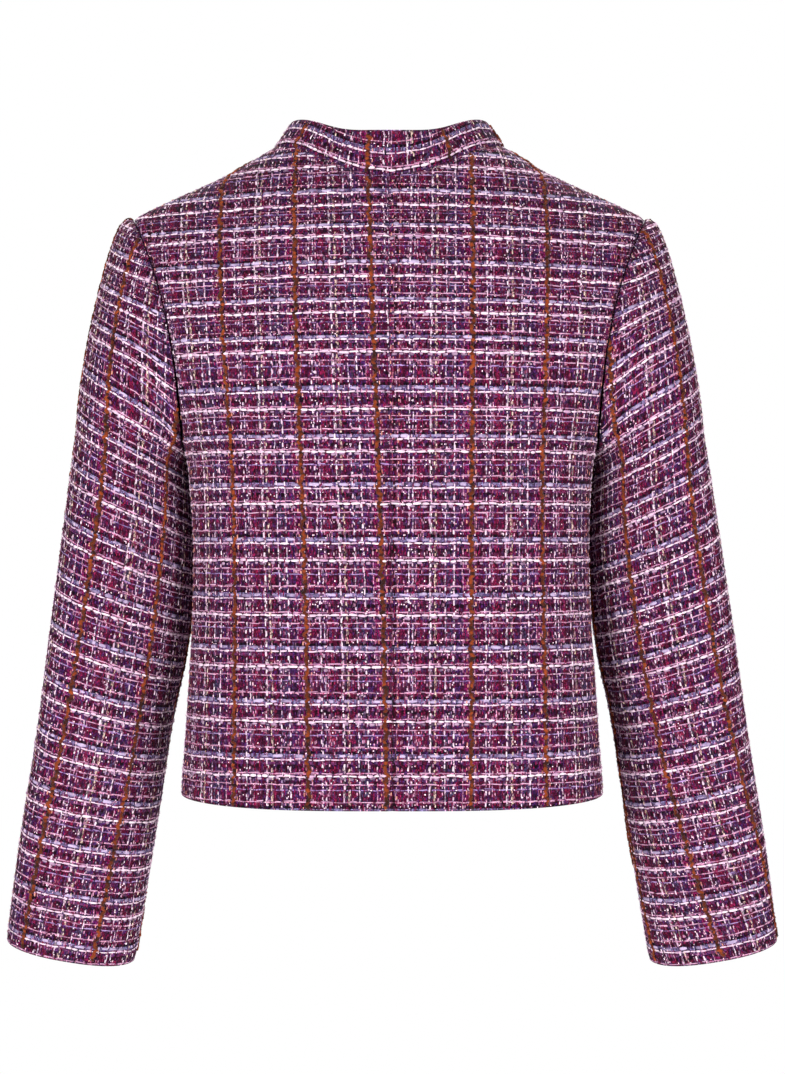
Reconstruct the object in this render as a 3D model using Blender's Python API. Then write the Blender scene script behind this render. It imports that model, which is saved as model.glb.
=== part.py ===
"""A cropped tweed jacket with a stand collar, filled out as it is worn and hollow inside.

The cloth is a thin wall. The body's four panels are cut from one smooth form, set by its
sections at a few levels and rolled over towards the shoulder line. A sleeve swells out of the
armhole and runs on through oval rings, and the collar is a band that rises from the neckline.
Metres, +X to the wearer's left, front towards -Y, +Z up. The origin is on the centre line,
level with the points where the shoulder seams meet the neck.
"""

from typing import NamedTuple

import bpy
import numpy as np

# Driving dimensions
CLOTH_THICKNESS = 0.002
SEAM_GAP = 0.0003
COLLAR_SEAM_LIFT = 0.0004
FRONT_OPENING_GAP = 0.0016
HEM_SIDE_HEIGHT = -0.512
HEM_DROP_BACK = 0.0055
HEM_DROP_FRONT = 0.003
UNDERARM_HEIGHT = -0.240
SIDE_SEAM_DEPTH = -0.004
TIP_X = 0.204
TIP_HEIGHT = -0.055
NECK_HALF_WIDTH = 0.093
NECK_HEIGHT_BACK = -0.029
NECK_HEIGHT_FRONT = -0.082
SHOULDER_SLOPE = -TIP_HEIGHT / (TIP_X - NECK_HALF_WIDTH)
SHOULDER_SAG = 0.0030
SHOULDER_ROLL_BACK = 0.21
SHOULDER_ROLL_FRONT = 0.26
ROLL_POWER = 2.6
COLLAR_HEIGHT_BACK = 0.0352
COLLAR_HEIGHT_SIDE = 0.0250
COLLAR_HEIGHT_FRONT = 0.0330
COLLAR_LEAN_BACK_DEG = 9.0
COLLAR_LEAN_SIDE_DEG = 33.0
COLLAR_LEAN_FRONT_DEG = 14.0
COLLAR_BLEND_BACK = 5.0
COLLAR_BLEND_FRONT = 1.6
SWAY = -0.0022
SWAY_TOP = -0.10
SWAY_BOTTOM = -0.46

# How finely the cloth is divided
BODY_NECK_COLUMNS = 8
BODY_SHOULDER_COLUMNS = 7
BODY_LOW_ROWS = 12
BODY_HIGH_ROWS = 13
SLEEVE_COLUMNS = 2 * BODY_HIGH_ROWS
SLEEVE_CAP_ROWS = 10
SLEEVE_ROW_PITCH = 0.026
COLLAR_ROWS = 3
ARC_SAMPLES = 400

# Finish of the cloth, as linear colour
TWEED_COLOURS = {
    "back": (0.216, 0.098, 0.165, 1.0),
    "front": (0.210, 0.095, 0.160, 1.0),
    "sleeve": (0.220, 0.096, 0.158, 1.0),
    "collar": (0.205, 0.094, 0.160, 1.0),
}
TWEED_ROUGHNESS = 0.92


class Level(NamedTuple):
    """The body's form at one height: how far it reaches sideways and from front to back."""

    name: str
    height: float
    reach: float
    edge_x: float
    centre_depth: float
    squareness: float


class SleeveSection(NamedTuple):
    """One ring of the left sleeve, set by the points nearest to and farthest from the body."""

    name: str
    x_inner: float
    y_inner: float
    z_inner: float
    x_outer: float
    y_outer: float
    z_outer: float
    half_depth: float
    lean_deg: float
    squareness: float


class CapStart(NamedTuple):
    """How strongly the sleeve's cap sets out sideways and downwards from the armhole."""

    name: str
    spread: float
    fall: float


class Fold(NamedTuple):
    """A soft trough or ridge, placed by shares of the piece's width and length."""

    piece: str
    across: float
    along: float
    half_width: float
    half_length: float
    slant: float
    height: float


# From the underarm up the edge is the armhole, and the form reaches on past it to the arm
BACK_LEVELS = (
    Level("hem", -0.520, 0.1682, 0.1682, 0.1030, 3.2),
    Level("low", -0.440, 0.1628, 0.1628, 0.1000, 2.9),
    Level("waist", -0.350, 0.1580, 0.1580, 0.0970, 2.6),
    Level("chest", -0.280, 0.1592, 0.1592, 0.1005, 2.5),
    Level("underarm", -0.240, 0.1640, 0.1640, 0.1040, 2.45),
    Level("scye_low", -0.215, 0.1735, 0.1650, 0.1058, 2.4),
    Level("scye_mid", -0.162, 0.1960, 0.1700, 0.1070, 2.3),
    Level("scye_high", -0.100, 0.2190, 0.1850, 0.1010, 2.25),
    Level("tip", -0.055, 0.2330, 0.2040, 0.0890, 2.2),
    Level("neck", 0.000, 0.2400, 0.2400, 0.0640, 2.2),
)

FRONT_LEVELS = (
    Level("hem", -0.520, 0.1682, 0.1682, -0.1170, 2.8),
    Level("low", -0.440, 0.1628, 0.1628, -0.1180, 2.6),
    Level("waist", -0.350, 0.1580, 0.1580, -0.1210, 2.4),
    Level("chest", -0.280, 0.1592, 0.1592, -0.1265, 2.4),
    Level("underarm", -0.240, 0.1640, 0.1640, -0.1280, 2.35),
    Level("scye_low", -0.215, 0.1735, 0.1640, -0.1260, 2.3),
    Level("scye_mid", -0.162, 0.1960, 0.1670, -0.1150, 2.2),
    Level("scye_high", -0.100, 0.2190, 0.1840, -0.0890, 2.2),
    Level("tip", -0.055, 0.2330, 0.2040, -0.0680, 2.2),
    Level("neck", 0.000, 0.2400, 0.2400, -0.0500, 2.2),
)

SLEEVE_SECTIONS = (
    SleeveSection("biceps", 0.1634, -0.030, -0.257, 0.2500, 0.002, -0.224, 0.0620, 3.0, 2.0),
    SleeveSection("upper_arm", 0.1594, -0.037, -0.320, 0.2592, 0.006, -0.290, 0.0580, 4.0, 2.1),
    SleeveSection("elbow", 0.1672, -0.045, -0.408, 0.2735, -0.004, -0.383, 0.0520, 6.0, 2.2),
    SleeveSection("forearm", 0.1816, -0.048, -0.481, 0.2850, -0.013, -0.461, 0.0470, 8.0, 2.3),
    SleeveSection("low_arm", 0.1966, -0.051, -0.572, 0.3015, -0.028, -0.555, 0.0420, 9.0, 2.4),
    SleeveSection("cuff", 0.2098, -0.051, -0.653, 0.3140, -0.045, -0.635, 0.0390, 9.0, 2.3),
)

# How the cap of the sleeve leaves the armhole at the top, the sides and the underarm
CAP_STARTS = (
    CapStart("top", 0.058, 0.000),
    CapStart("side", 0.048, 0.030),
    CapStart("under", 0.005, 0.012),
)
CAP_FULLNESS = 0.014
CAP_HEAD_SPREAD = 0.050
CAP_HEAD_RISE = 0.012
CAP_FINISH = 0.75

# Across runs from the centre line to the side on a body panel and, on a sleeve, from the
# top of the arm round by the back. Along runs from hem to neck, and from armhole to cuff.
FOLDS = (
    Fold("back_left", 0.62, 0.52, 0.10, 0.26, 0.10, -0.0022),
    Fold("back_left", 0.86, 0.22, 0.09, 0.20, -0.05, 0.0020),
    Fold("back_right", 0.58, 0.50, 0.10, 0.24, 0.14, -0.0020),
    Fold("back_right", 0.84, 0.20, 0.10, 0.18, -0.08, 0.0022),
    Fold("front_left", 0.70, 0.55, 0.10, 0.22, 0.30, -0.0026),
    Fold("front_left", 0.45, 0.18, 0.12, 0.20, -0.10, 0.0022),
    Fold("front_right", 0.68, 0.52, 0.10, 0.22, 0.26, -0.0026),
    Fold("front_right", 0.48, 0.16, 0.12, 0.20, -0.06, 0.0022),
    Fold("sleeve_left", 0.70, 0.50, 0.13, 0.030, 0.12, -0.0032),
    Fold("sleeve_left", 0.76, 0.58, 0.12, 0.026, -0.10, -0.0026),
    Fold("sleeve_left", 0.26, 0.40, 0.10, 0.100, 0.30, 0.0020),
    Fold("sleeve_right", 0.72, 0.48, 0.12, 0.030, 0.10, -0.0030),
    Fold("sleeve_right", 0.74, 0.57, 0.13, 0.028, -0.14, -0.0028),
    Fold("sleeve_right", 0.28, 0.42, 0.10, 0.110, 0.26, 0.0020),
)


def unit(vectors):
    """Vectors scaled to length one along their last axis."""
    return vectors / np.maximum(np.linalg.norm(vectors, axis=-1, keepdims=True), 1e-12)


def evenly_spaced(points, count):
    """Count + 1 points at equal steps of length along a fine polyline."""
    steps = np.linalg.norm(np.diff(points, axis=0), axis=1)
    length = np.concatenate([[0.0], np.cumsum(steps)])
    wanted = np.linspace(0.0, length[-1], count + 1)
    return np.stack([np.interp(wanted, length, points[:, k]) for k in range(3)], axis=1)


def smooth_through(stations, values, wanted):
    """Values on a smooth cubic through a table's rows, read at the wanted stations."""
    wanted = np.asarray(wanted, dtype=float)
    steps = np.diff(stations)
    spread = (-1,) + (1,) * (values.ndim - 1)
    slopes = np.diff(values, axis=0) / steps.reshape(spread)
    blend = (steps[1:] / (steps[1:] + steps[:-1])).reshape(spread)
    inner = slopes[:-1] * blend + slopes[1:] * (1.0 - blend)
    tangents = np.concatenate([slopes[:1], inner, slopes[-1:]])
    span = np.clip(np.searchsorted(stations, wanted, side="right") - 1, 0, len(steps) - 1)
    shape = wanted.shape + (1,) * (values.ndim - 1)
    step = steps[span].reshape(shape)
    t = (wanted - stations[span]).reshape(shape) / step
    return (
        (2 * t**3 - 3 * t**2 + 1) * values[span]
        + (t**3 - 2 * t**2 + t) * step * tangents[span]
        + (3 * t**2 - 2 * t**3) * values[span + 1]
        + (t**3 - t**2) * step * tangents[span + 1]
    )


def shoulder_height(x):
    """Height of the shoulder line at a distance from the centre, carried on smoothly to the neck."""
    inside = 0.5 * SHOULDER_SLOPE * (NECK_HALF_WIDTH**2 - x**2) / NECK_HALF_WIDTH
    share = np.clip((x - NECK_HALF_WIDTH) / (TIP_X - NECK_HALF_WIDTH), 0.0, 1.0)
    outside = -SHOULDER_SLOPE * (x - NECK_HALF_WIDTH) - SHOULDER_SAG * np.sin(np.pi * share**0.6) ** 2
    return np.where(x < NECK_HALF_WIDTH, inside, outside)


class BodyForm:
    """The smooth outer form of one quarter of the body, on the +X side."""

    def __init__(self, levels, roll, hem_drop, neck_height, centre_gap):
        self.heights = np.array([level.height for level in levels])
        self.columns = {
            key: np.array([getattr(level, key) for level in levels]) for key in Level._fields[2:]
        }
        self.roll = roll
        self.hem_drop = hem_drop
        self.neck_height = neck_height
        self.centre_gap = centre_gap
        self.facing = np.sign(levels[0].centre_depth)

    def read(self, key, z):
        """One column of the level table at the given heights."""
        return smooth_through(self.heights, self.columns[key], z)

    def rounding(self, x, z):
        """How far the cloth has rolled over towards the shoulder line, from 1 down to 0."""
        shares = []
        for line in (shoulder_height(x), shoulder_height(np.zeros_like(x))):
            share = np.clip(1.0 - (line - z) / self.roll, 0.0, 1.0)
            shares.append((1.0 - share**ROLL_POWER) ** (1.0 / ROLL_POWER))
        return shares[0] / shares[1]

    def seam_depth(self, z):
        """Depth of the side seam, which runs up to meet the shoulder seam's depth."""
        rise = np.clip((TIP_HEIGHT - z) / (TIP_HEIGHT - UNDERARM_HEIGHT), 0.0, 1.0)
        return SIDE_SEAM_DEPTH * rise

    def depth(self, x, z):
        """Depth of the form at a place seen from behind or in front."""
        power = self.read("squareness", z)
        share = np.clip(x / self.read("reach", z), 0.0, 1.0)
        seam = self.seam_depth(z)
        fullness = (1.0 - share**power) ** (1.0 / power) * self.rounding(x, z)
        return seam + (self.read("centre_depth", z) - seam) * fullness

    def angle_at(self, x, z):
        """Angle round the body at which the form is this far from the centre."""
        share = np.clip(x / self.read("reach", z), 0.0, 1.0)
        return np.arcsin(share ** (0.5 * self.read("squareness", z)))

    def points(self, angle, z):
        """Points of the form at angles round the body and heights."""
        power = 2.0 / self.read("squareness", z)
        share = np.sin(angle) ** power
        x = self.read("reach", z) * share
        seam = self.seam_depth(z)
        fullness = np.maximum(np.cos(angle), 0.0) ** power * self.rounding(x, z)
        y = seam + (self.read("centre_depth", z) - seam) * fullness
        x = x + self.centre_gap * (1.0 - share)
        return np.stack([x, y + 0.5 * SEAM_GAP * self.facing, z], axis=-1)

    def neckline(self, count):
        """Count + 1 plan places and heights along the neckline, from the centre to the shoulder."""
        turn = np.linspace(0.0, 0.5 * np.pi, ARC_SAMPLES)
        x = NECK_HALF_WIDTH * np.sin(turn)
        y = abs(self.depth(np.zeros(1), np.array([self.neck_height]))) * np.cos(turn)
        low = np.full_like(x, self.neck_height - 0.01)
        high = shoulder_height(x)
        for _ in range(40):
            middle = 0.5 * (low + high)
            outside = abs(self.depth(x, middle)) > y
            low = np.where(outside, middle, low)
            high = np.where(outside, high, middle)
        return evenly_spaced(np.stack([x, y, high], axis=1), count)

    def even_angles(self, count):
        """Angles of count + 1 evenly spaced places round the underarm level."""
        angle = np.linspace(0.0, 0.5 * np.pi, ARC_SAMPLES)
        points = self.points(angle, np.full_like(angle, UNDERARM_HEIGHT))
        steps = np.linalg.norm(np.diff(points, axis=0), axis=1)
        length = np.concatenate([[0.0], np.cumsum(steps)])
        return np.interp(np.linspace(0.0, length[-1], count + 1), length, angle)

    def grid(self):
        """Rows of points from the hem to the neckline and shoulder seam, and the underarm's row."""
        columns = BODY_NECK_COLUMNS + BODY_SHOULDER_COLUMNS
        low_angle = self.even_angles(columns)
        hem = HEM_SIDE_HEIGHT - self.hem_drop * np.cos(low_angle) ** 2
        share = np.linspace(0.0, 1.0, BODY_LOW_ROWS + 1)[:, None]
        low_z = hem + (UNDERARM_HEIGHT - hem) * share
        low = self.points(np.broadcast_to(low_angle, low_z.shape), low_z)

        neck = self.neckline(BODY_NECK_COLUMNS)
        shoulder_x = np.linspace(NECK_HALF_WIDTH, TIP_X, BODY_SHOULDER_COLUMNS + 1)[1:]
        top_x = np.concatenate([neck[:, 0], shoulder_x])
        top_z = np.concatenate([neck[:, 2], shoulder_height(shoulder_x)])
        top_angle = self.angle_at(top_x, top_z)
        rise = 0.5 - 0.5 * np.cos(np.linspace(0.0, np.pi, BODY_HIGH_ROWS + 1))[1:, None]
        high_z = UNDERARM_HEIGHT + (top_z - UNDERARM_HEIGHT) * rise
        edge_z = high_z[:, -1:]
        edge_angle = self.angle_at(self.read("edge_x", edge_z), edge_z)
        plain = low_angle * (1.0 - rise) + top_angle * rise
        width = np.linspace(0.0, 1.0, columns + 1)
        high = self.points(plain + width**2 * (edge_angle - plain[:, -1:]), high_z)
        return np.concatenate([low, high]), BODY_LOW_ROWS


def row_stations(stations, pitch):
    """Stations of the rows: every section, and evenly between them at about the pitch."""
    rows = [stations[0]]
    for low, high in zip(stations[:-1], stations[1:]):
        count = max(1, round((high - low) / pitch))
        rows.extend(low + (high - low) * (k + 1) / count for k in range(count))
    return np.array(rows)


def shares_along(points, axis):
    """Mean share of the length at each row or column of a grid, from 0 to 1."""
    steps = np.linalg.norm(np.diff(points, axis=axis), axis=-1).mean(axis=1 - axis)
    length = np.concatenate([[0.0], np.cumsum(steps)])
    return length / length[-1]


def fold_heights(piece, points, wraps):
    """How far each point of a piece's grid is moved out by its folds."""
    closed = np.concatenate([points, points[:, :1]], axis=1) if wraps else points
    along = shares_along(points, 0)[:, None]
    across = shares_along(closed, 1)[None, : points.shape[1]]
    height = np.zeros(points.shape[:2])
    for fold in FOLDS:
        if fold.piece != piece:
            continue
        sideways = across - fold.across - fold.slant * (along - fold.along)
        if wraps:
            sideways = (sideways + 0.5) % 1.0 - 0.5
        reach = (sideways / fold.half_width) ** 2 + ((along - fold.along) / fold.half_length) ** 2
        height += fold.height * np.exp(-reach)
    if not wraps:
        height *= np.sin(np.pi * np.clip(across, 0.0, 1.0)) ** 0.5
    height *= np.sin(np.pi * np.clip(along, 0.0, 1.0)) ** 0.5
    return height[..., None]


def grid_normals(points, wraps):
    """Unit normals of a grid of points, facing out of the garment."""
    if wraps:
        around = np.roll(points, -1, axis=1) - np.roll(points, 1, axis=1)
    else:
        around = np.gradient(points, axis=1)
    return unit(np.cross(around, np.gradient(points, axis=0)))


def body_panel(piece, form, side):
    """Outer points and normals of one body panel, and the row at the underarm.

    Side is +1 for the wearer's left and -1 for the right.
    """
    points, underarm = form.grid()
    normals = grid_normals(points, wraps=False) * -form.facing
    normals[:, 0, 0] = 0.0
    normals[: underarm + 1, -1, 1] = 0.0
    normals[-1, BODY_NECK_COLUMNS:, 1] = 0.0
    normals = unit(normals)
    points = points + normals * fold_heights(piece, points, False)
    mirror = np.array([side, 1.0, 1.0])
    return points * mirror, normals * mirror, underarm


def armhole_ring(back, front):
    """The sleeve's first ring, just clear of the body's armhole edge, from the top by the back."""
    edges = []
    for points, normals, underarm in (back, front):
        edge = points[underarm:, -1][::-1]
        within = points[underarm:, -2][::-1]
        away = unit(np.cross(np.gradient(edge, axis=0), normals[underarm:, -1][::-1]))
        away *= np.sign(np.sum(away * (edge - within), axis=1))[:, None]
        outward = np.array([np.sign(edge[0, 0]), 0.0, 0.0])
        edges.append(edge + SEAM_GAP * (away + 1.2 * outward))
    by_back, by_front = edges
    top = 0.5 * (by_back[0] + by_front[0])
    bottom = 0.5 * (by_back[-1] + by_front[-1])
    by_back[0] = by_front[0] = top
    by_back[-1] = by_front[-1] = bottom
    return closed_ring(by_back, by_front)


def closed_ring(by_back, by_front):
    """A ring of points down the back from the top and up the front."""
    return np.concatenate([by_back[:-1], by_front[:0:-1]])


def sleeve_ring(section, side):
    """An oval ring of the sleeve between its inner and outer points."""
    angle = np.linspace(0.0, np.pi, 2 * ARC_SAMPLES + 1)
    inner = np.array([section.x_inner, section.y_inner, section.z_inner])
    outer = np.array([section.x_outer, section.y_outer, section.z_outer])
    middle = 0.5 * (inner + outer)
    power = 2.0 / section.squareness
    width = np.sign(np.cos(angle)) * np.abs(np.cos(angle)) ** power
    lean = np.radians(section.lean_deg)
    depth = section.half_depth * np.array([0.0, np.cos(lean), -np.sin(lean)])
    halves = []
    for way in (1.0, -1.0):
        ring = (
            middle
            + width[:, None] * 0.5 * (outer - inner)
            + way * np.sin(angle)[:, None] ** power * depth
        )
        halves.append(evenly_spaced(ring * np.array([side, 1.0, 1.0]), SLEEVE_COLUMNS // 2))
    return closed_ring(*halves)


def sleeve_cap(armhole, biceps, axis, side):
    """Rows of the sleeve from the armhole to just above the biceps ring, swelling out smoothly."""
    turn = np.linspace(0.0, 2.0 * np.pi, SLEEVE_COLUMNS, endpoint=False)
    weights = np.stack(
        [np.maximum(np.cos(turn), 0.0) ** 2, np.sin(turn) ** 2, np.maximum(-np.cos(turn), 0.0) ** 2]
    )
    spread = np.array([start.spread for start in CAP_STARTS]) @ weights
    fall = np.array([start.fall for start in CAP_STARTS]) @ weights
    leaving = np.stack([side * spread, CAP_FULLNESS * np.sin(turn), -fall], axis=1)
    head = weights[0][:, None] * np.array([side * CAP_HEAD_SPREAD, 0.0, CAP_HEAD_RISE])
    span = np.linalg.norm(biceps - armhole, axis=1)[:, None]
    arriving = CAP_FINISH * span * axis
    rows = []
    for t in np.linspace(0.0, 1.0, SLEEVE_CAP_ROWS, endpoint=False) ** 1.3:
        rows.append(
            (2 * t**3 - 3 * t**2 + 1) * armhole
            + (t**3 - 2 * t**2 + t) * leaving
            + (3 * t**2 - 2 * t**3) * biceps
            + (t**3 - t**2) * arriving
            + t * (1.0 - t) ** 8 * head
        )
    return np.array(rows)


def sleeve_panel(piece, back, front, side):
    """Outer points and normals of a sleeve, a tube from the armhole to the cuff."""
    rings = np.array([sleeve_ring(section, side) for section in SLEEVE_SECTIONS])
    middles = rings.mean(axis=1)
    steps = np.linalg.norm(np.diff(middles, axis=0), axis=1)
    stations = np.concatenate([[0.0], np.cumsum(steps)])
    tube = smooth_through(stations, rings, row_stations(stations, SLEEVE_ROW_PITCH))
    cap = sleeve_cap(armhole_ring(back, front), rings[0], unit(middles[1] - middles[0]), side)
    points = np.concatenate([cap, tube])
    normals = grid_normals(points, wraps=True) * -side
    return points + normals * fold_heights(piece, points, True), normals


def collar_panel(panels):
    """Outer points and normals of the stand collar, from one front edge round to the other."""
    seam = None
    for name in ("front_left", "back_left", "back_right", "front_right"):
        points = panels[name][0][:, : BODY_NECK_COLUMNS + 1]
        both = np.stack([points[-1], unit(points[-1] - points[-2])])
        if name in ("back_left", "front_right"):
            both = both[:, ::-1]
        if seam is not None:
            shared = 0.5 * (seam[:, -1:] + both[:, :1])
            both = np.concatenate([seam[:, :-1], shared, both[:, 1:]], axis=1)
        seam = both
    seam = seam[0] + COLLAR_SEAM_LIFT * unit(seam[1])
    seam[0, 0] = 0.5 * FRONT_OPENING_GAP
    seam[-1, 0] = -0.5 * FRONT_OPENING_GAP
    plan = unit(seam * np.array([1.0, 1.0, 0.0]))
    backward = np.clip(plan[:, 1], 0.0, 1.0) ** COLLAR_BLEND_BACK
    forward = np.clip(-plan[:, 1], 0.0, 1.0) ** COLLAR_BLEND_FRONT
    sideways = 1.0 - backward - forward
    height = (
        COLLAR_HEIGHT_BACK * backward + COLLAR_HEIGHT_SIDE * sideways + COLLAR_HEIGHT_FRONT * forward
    )
    lean = np.radians(
        COLLAR_LEAN_BACK_DEG * backward
        + COLLAR_LEAN_SIDE_DEG * sideways
        + COLLAR_LEAN_FRONT_DEG * forward
    )
    inward = -plan * np.sin(lean)[:, None]
    rising = inward + np.array([0.0, 0.0, 1.0]) * np.cos(lean)[:, None]
    rising[[0, -1], 0] = 0.0
    share = np.linspace(0.0, 1.0, COLLAR_ROWS + 1)[:, None, None]
    points = seam[None] + share * (height[:, None] * rising)[None]
    normals = grid_normals(points, wraps=False)
    normals[:, [0, -1], 0] = 0.0
    return points, unit(normals)


def swayed(points):
    """Points moved sideways below the shoulders, as the jacket hangs a little off plumb."""
    share = np.clip((SWAY_TOP - points[..., 2]) / (SWAY_TOP - SWAY_BOTTOM), 0.0, 1.0)
    shift = SWAY * share**2 * (3.0 - 2.0 * share)
    return points + shift[..., None] * np.array([1.0, 0.0, 0.0])


def wall_mesh(name, outer, normals, wraps):
    """A closed wall of cloth: the outer grid, the same grid moved in, and the rims between."""
    rows, columns = outer.shape[:2]
    inner = swayed(outer - CLOTH_THICKNESS * normals)
    outer = swayed(outer)
    vertices = np.concatenate([outer.reshape(-1, 3), inner.reshape(-1, 3)])
    count = rows * columns
    spans = columns if wraps else columns - 1

    def corner(row, column, layer):
        return layer * count + row * columns + column % columns

    def quad(a, b, layer_a, layer_b):
        return [corner(*a, layer_a), corner(*b, layer_a), corner(*b, layer_b), corner(*a, layer_b)]

    faces = []
    for row in range(rows - 1):
        for column in range(spans):
            ring = [(row, column), (row, column + 1), (row + 1, column + 1), (row + 1, column)]
            faces.append([corner(*point, 0) for point in ring])
            faces.append([corner(*point, 1) for point in reversed(ring)])
    for column in range(spans):
        faces.append(quad((0, column + 1), (0, column), 0, 1))
        faces.append(quad((rows - 1, column), (rows - 1, column + 1), 0, 1))
    for row in range(rows - 1 if not wraps else 0):
        faces.append(quad((row, 0), (row + 1, 0), 0, 1))
        faces.append(quad((row + 1, columns - 1), (row, columns - 1), 0, 1))
    around, along = outer[0, 1] - outer[0, 0], outer[1, 0] - outer[0, 0]
    if np.dot(np.cross(around, along), normals[0, 0]) < 0:
        faces = [face[::-1] for face in faces]
    mesh = bpy.data.meshes.new(name)
    mesh.from_pydata(vertices.tolist(), [], faces)
    mesh.shade_smooth()
    mesh.set_sharp_from_angle(angle=np.radians(50.0))
    return mesh


def tweed_material(name, colour):
    """Matt woven cloth in the mean colour of its yarns."""
    material = bpy.data.materials.new(name)
    material.use_nodes = True
    shader = material.node_tree.nodes["Principled BSDF"]
    shader.inputs["Base Color"].default_value = colour
    shader.inputs["Roughness"].default_value = TWEED_ROUGHNESS
    shader.inputs["Metallic"].default_value = 0.0
    return material


def add_piece(name, points, normals, wraps, parent, collection):
    """One cut piece as an object with its own material, held by the jacket's empty."""
    piece = bpy.data.objects.new(name, wall_mesh(name, points, normals, wraps))
    colour = TWEED_COLOURS[name.split("_")[0]]
    piece.data.materials.append(tweed_material(f"tweed_{name}", colour))
    piece.parent = parent
    collection.objects.link(piece)
    return piece


def main():
    """Clears the scene and builds the jacket's seven cut pieces."""
    for old in list(bpy.data.objects):
        bpy.data.objects.remove(old)
    collection = bpy.data.collections.new("tweed_jacket")
    bpy.context.scene.collection.children.link(collection)
    jacket = bpy.data.objects.new("jacket", None)
    collection.objects.link(jacket)

    half_seam = 0.5 * SEAM_GAP
    forms = {
        "back": BodyForm(BACK_LEVELS, SHOULDER_ROLL_BACK, HEM_DROP_BACK, NECK_HEIGHT_BACK, half_seam),
        "front": BodyForm(
            FRONT_LEVELS,
            SHOULDER_ROLL_FRONT,
            HEM_DROP_FRONT,
            NECK_HEIGHT_FRONT,
            0.5 * FRONT_OPENING_GAP,
        ),
    }
    panels = {}
    for side_name, side in (("left", 1.0), ("right", -1.0)):
        for part_name, form in forms.items():
            name = f"{part_name}_{side_name}"
            panels[name] = body_panel(name, form, side)
            add_piece(name, *panels[name][:2], False, jacket, collection)
        name = f"sleeve_{side_name}"
        sleeve = sleeve_panel(name, panels[f"back_{side_name}"], panels[f"front_{side_name}"], side)
        add_piece(name, *sleeve, True, jacket, collection)
    add_piece("collar", *collar_panel(panels), False, jacket, collection)


main()
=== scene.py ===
"""Looks of a cropped tweed jacket with a stand collar, seen from behind as it is worn.

Each cut piece is a thin shell of cloth on its solid's form, with soft folds and sunken seams.
Its weave is charted: fine threads are in the cloth's finish, and the thick yarns that
stand up from it are modelled. Metres, +X to the wearer's left, front towards -Y, +Z up. The
UV map holds places in the weave's chart in metres: U among the warp ends, V among the weft picks,
whose rows are beaten up unevenly.
"""

import logging
import math
from dataclasses import dataclass, field
from enum import Enum

import bpy
import numpy as np
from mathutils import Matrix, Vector


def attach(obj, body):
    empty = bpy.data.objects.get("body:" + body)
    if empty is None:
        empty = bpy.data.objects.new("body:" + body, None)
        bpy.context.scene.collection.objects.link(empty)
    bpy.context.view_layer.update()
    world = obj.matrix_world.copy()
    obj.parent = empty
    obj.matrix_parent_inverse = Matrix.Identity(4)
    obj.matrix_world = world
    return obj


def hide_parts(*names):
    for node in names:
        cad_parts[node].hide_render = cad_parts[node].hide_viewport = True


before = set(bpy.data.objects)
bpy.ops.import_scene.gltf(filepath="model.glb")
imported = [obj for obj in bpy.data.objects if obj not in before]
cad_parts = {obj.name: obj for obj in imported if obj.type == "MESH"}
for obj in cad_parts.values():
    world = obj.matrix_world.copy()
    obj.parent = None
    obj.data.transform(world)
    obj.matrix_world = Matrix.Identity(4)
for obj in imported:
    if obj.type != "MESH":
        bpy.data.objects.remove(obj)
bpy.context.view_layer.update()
LOG = logging.getLogger("tweed_jacket")

MM = 0.001
TINY_LENGTH = 1e-12
TINY_STEP = 1e-9

# The cut, shared by all pieces
CLOTH_THICKNESS = 0.002
SEAM_GAP = 0.0003
COLLAR_SEAM_LIFT = 0.0004
FRONT_OPENING_GAP = 0.0016
HEM_SIDE_HEIGHT = -0.512
UNDERARM_HEIGHT = -0.240
SIDE_SEAM_DEPTH = -0.004
TIP_X = 0.204
TIP_HEIGHT = -0.055
NECK_HALF_WIDTH = 0.093
SHOULDER_SLOPE = -TIP_HEIGHT / (TIP_X - NECK_HALF_WIDTH)
SHOULDER_SAG = 0.0030
SAG_SHAPE = 0.6
FOLD_FADE = 0.5
ROLL_POWER = 2.6
NECK_SHARE = 8.0 / 15.0
SWAY = -0.0022
SWAY_TOP = -0.10
SWAY_BOTTOM = -0.46
ARC_SAMPLES = 400

# The weave's repeat and its fine threads
WARP_REPEAT = 59.5 * MM
WEFT_REPEAT = 41.7 * MM
WARP_THREADS = 60
WEFT_PICKS = 40
WEFT_AT_UNDERARM = 12.5 * MM
SHORTEST_RUN = 4

# How unevenly the floats lie: lengths in millimetres, ranges as shares of the mean
THICK_SIDES = 5
FIRST_CUT = 4.0
FLOAT_PLUMPNESS = (0.75, 1.25)
STATION_PLUMPNESS = (0.8, 1.2)
FLOAT_WAVES = (6.1, 3.7)
FLOAT_WANDER = 0.25
FLOAT_STRAY = 0.2
FLOAT_TONE = (0.70, 0.26)
STATION_TONE = 0.12

# The same for the links of the chain yarns
LINK_SIDES = 4
LINK_SPACING = (0.7, 1.3)
LINK_LENGTHS = (0.7, 1.2)
LINK_WIDTHS = (0.7, 1.25)
LINK_FLATNESS = 0.8
LINK_SLANT = 2.0
LINK_SWAYS = (0.5, 1.3)
LINK_WAVES = (2.6, 1.7)
RUST_SHARE = 0.55


class Side(Enum):
    """Side of the wearer's body, as the sign of X."""

    LEFT = 1.0
    RIGHT = -1.0


class Grain(Enum):
    """Direction in which a yarn runs through the cloth."""

    WARP = "warp"
    WEFT = "weft"


@dataclass(frozen=True)
class Level:
    """The body's form at one height: how far it reaches sideways and from front to back."""

    name: str
    height: float
    reach: float
    edge_x: float
    centre_depth: float
    squareness: float


@dataclass(frozen=True)
class SleeveSection:
    """One ring of the left sleeve, set by the points nearest to and farthest from the body."""

    name: str
    inner: tuple[float, float, float]
    outer: tuple[float, float, float]
    half_depth: float
    lean_deg: float
    squareness: float


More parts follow.
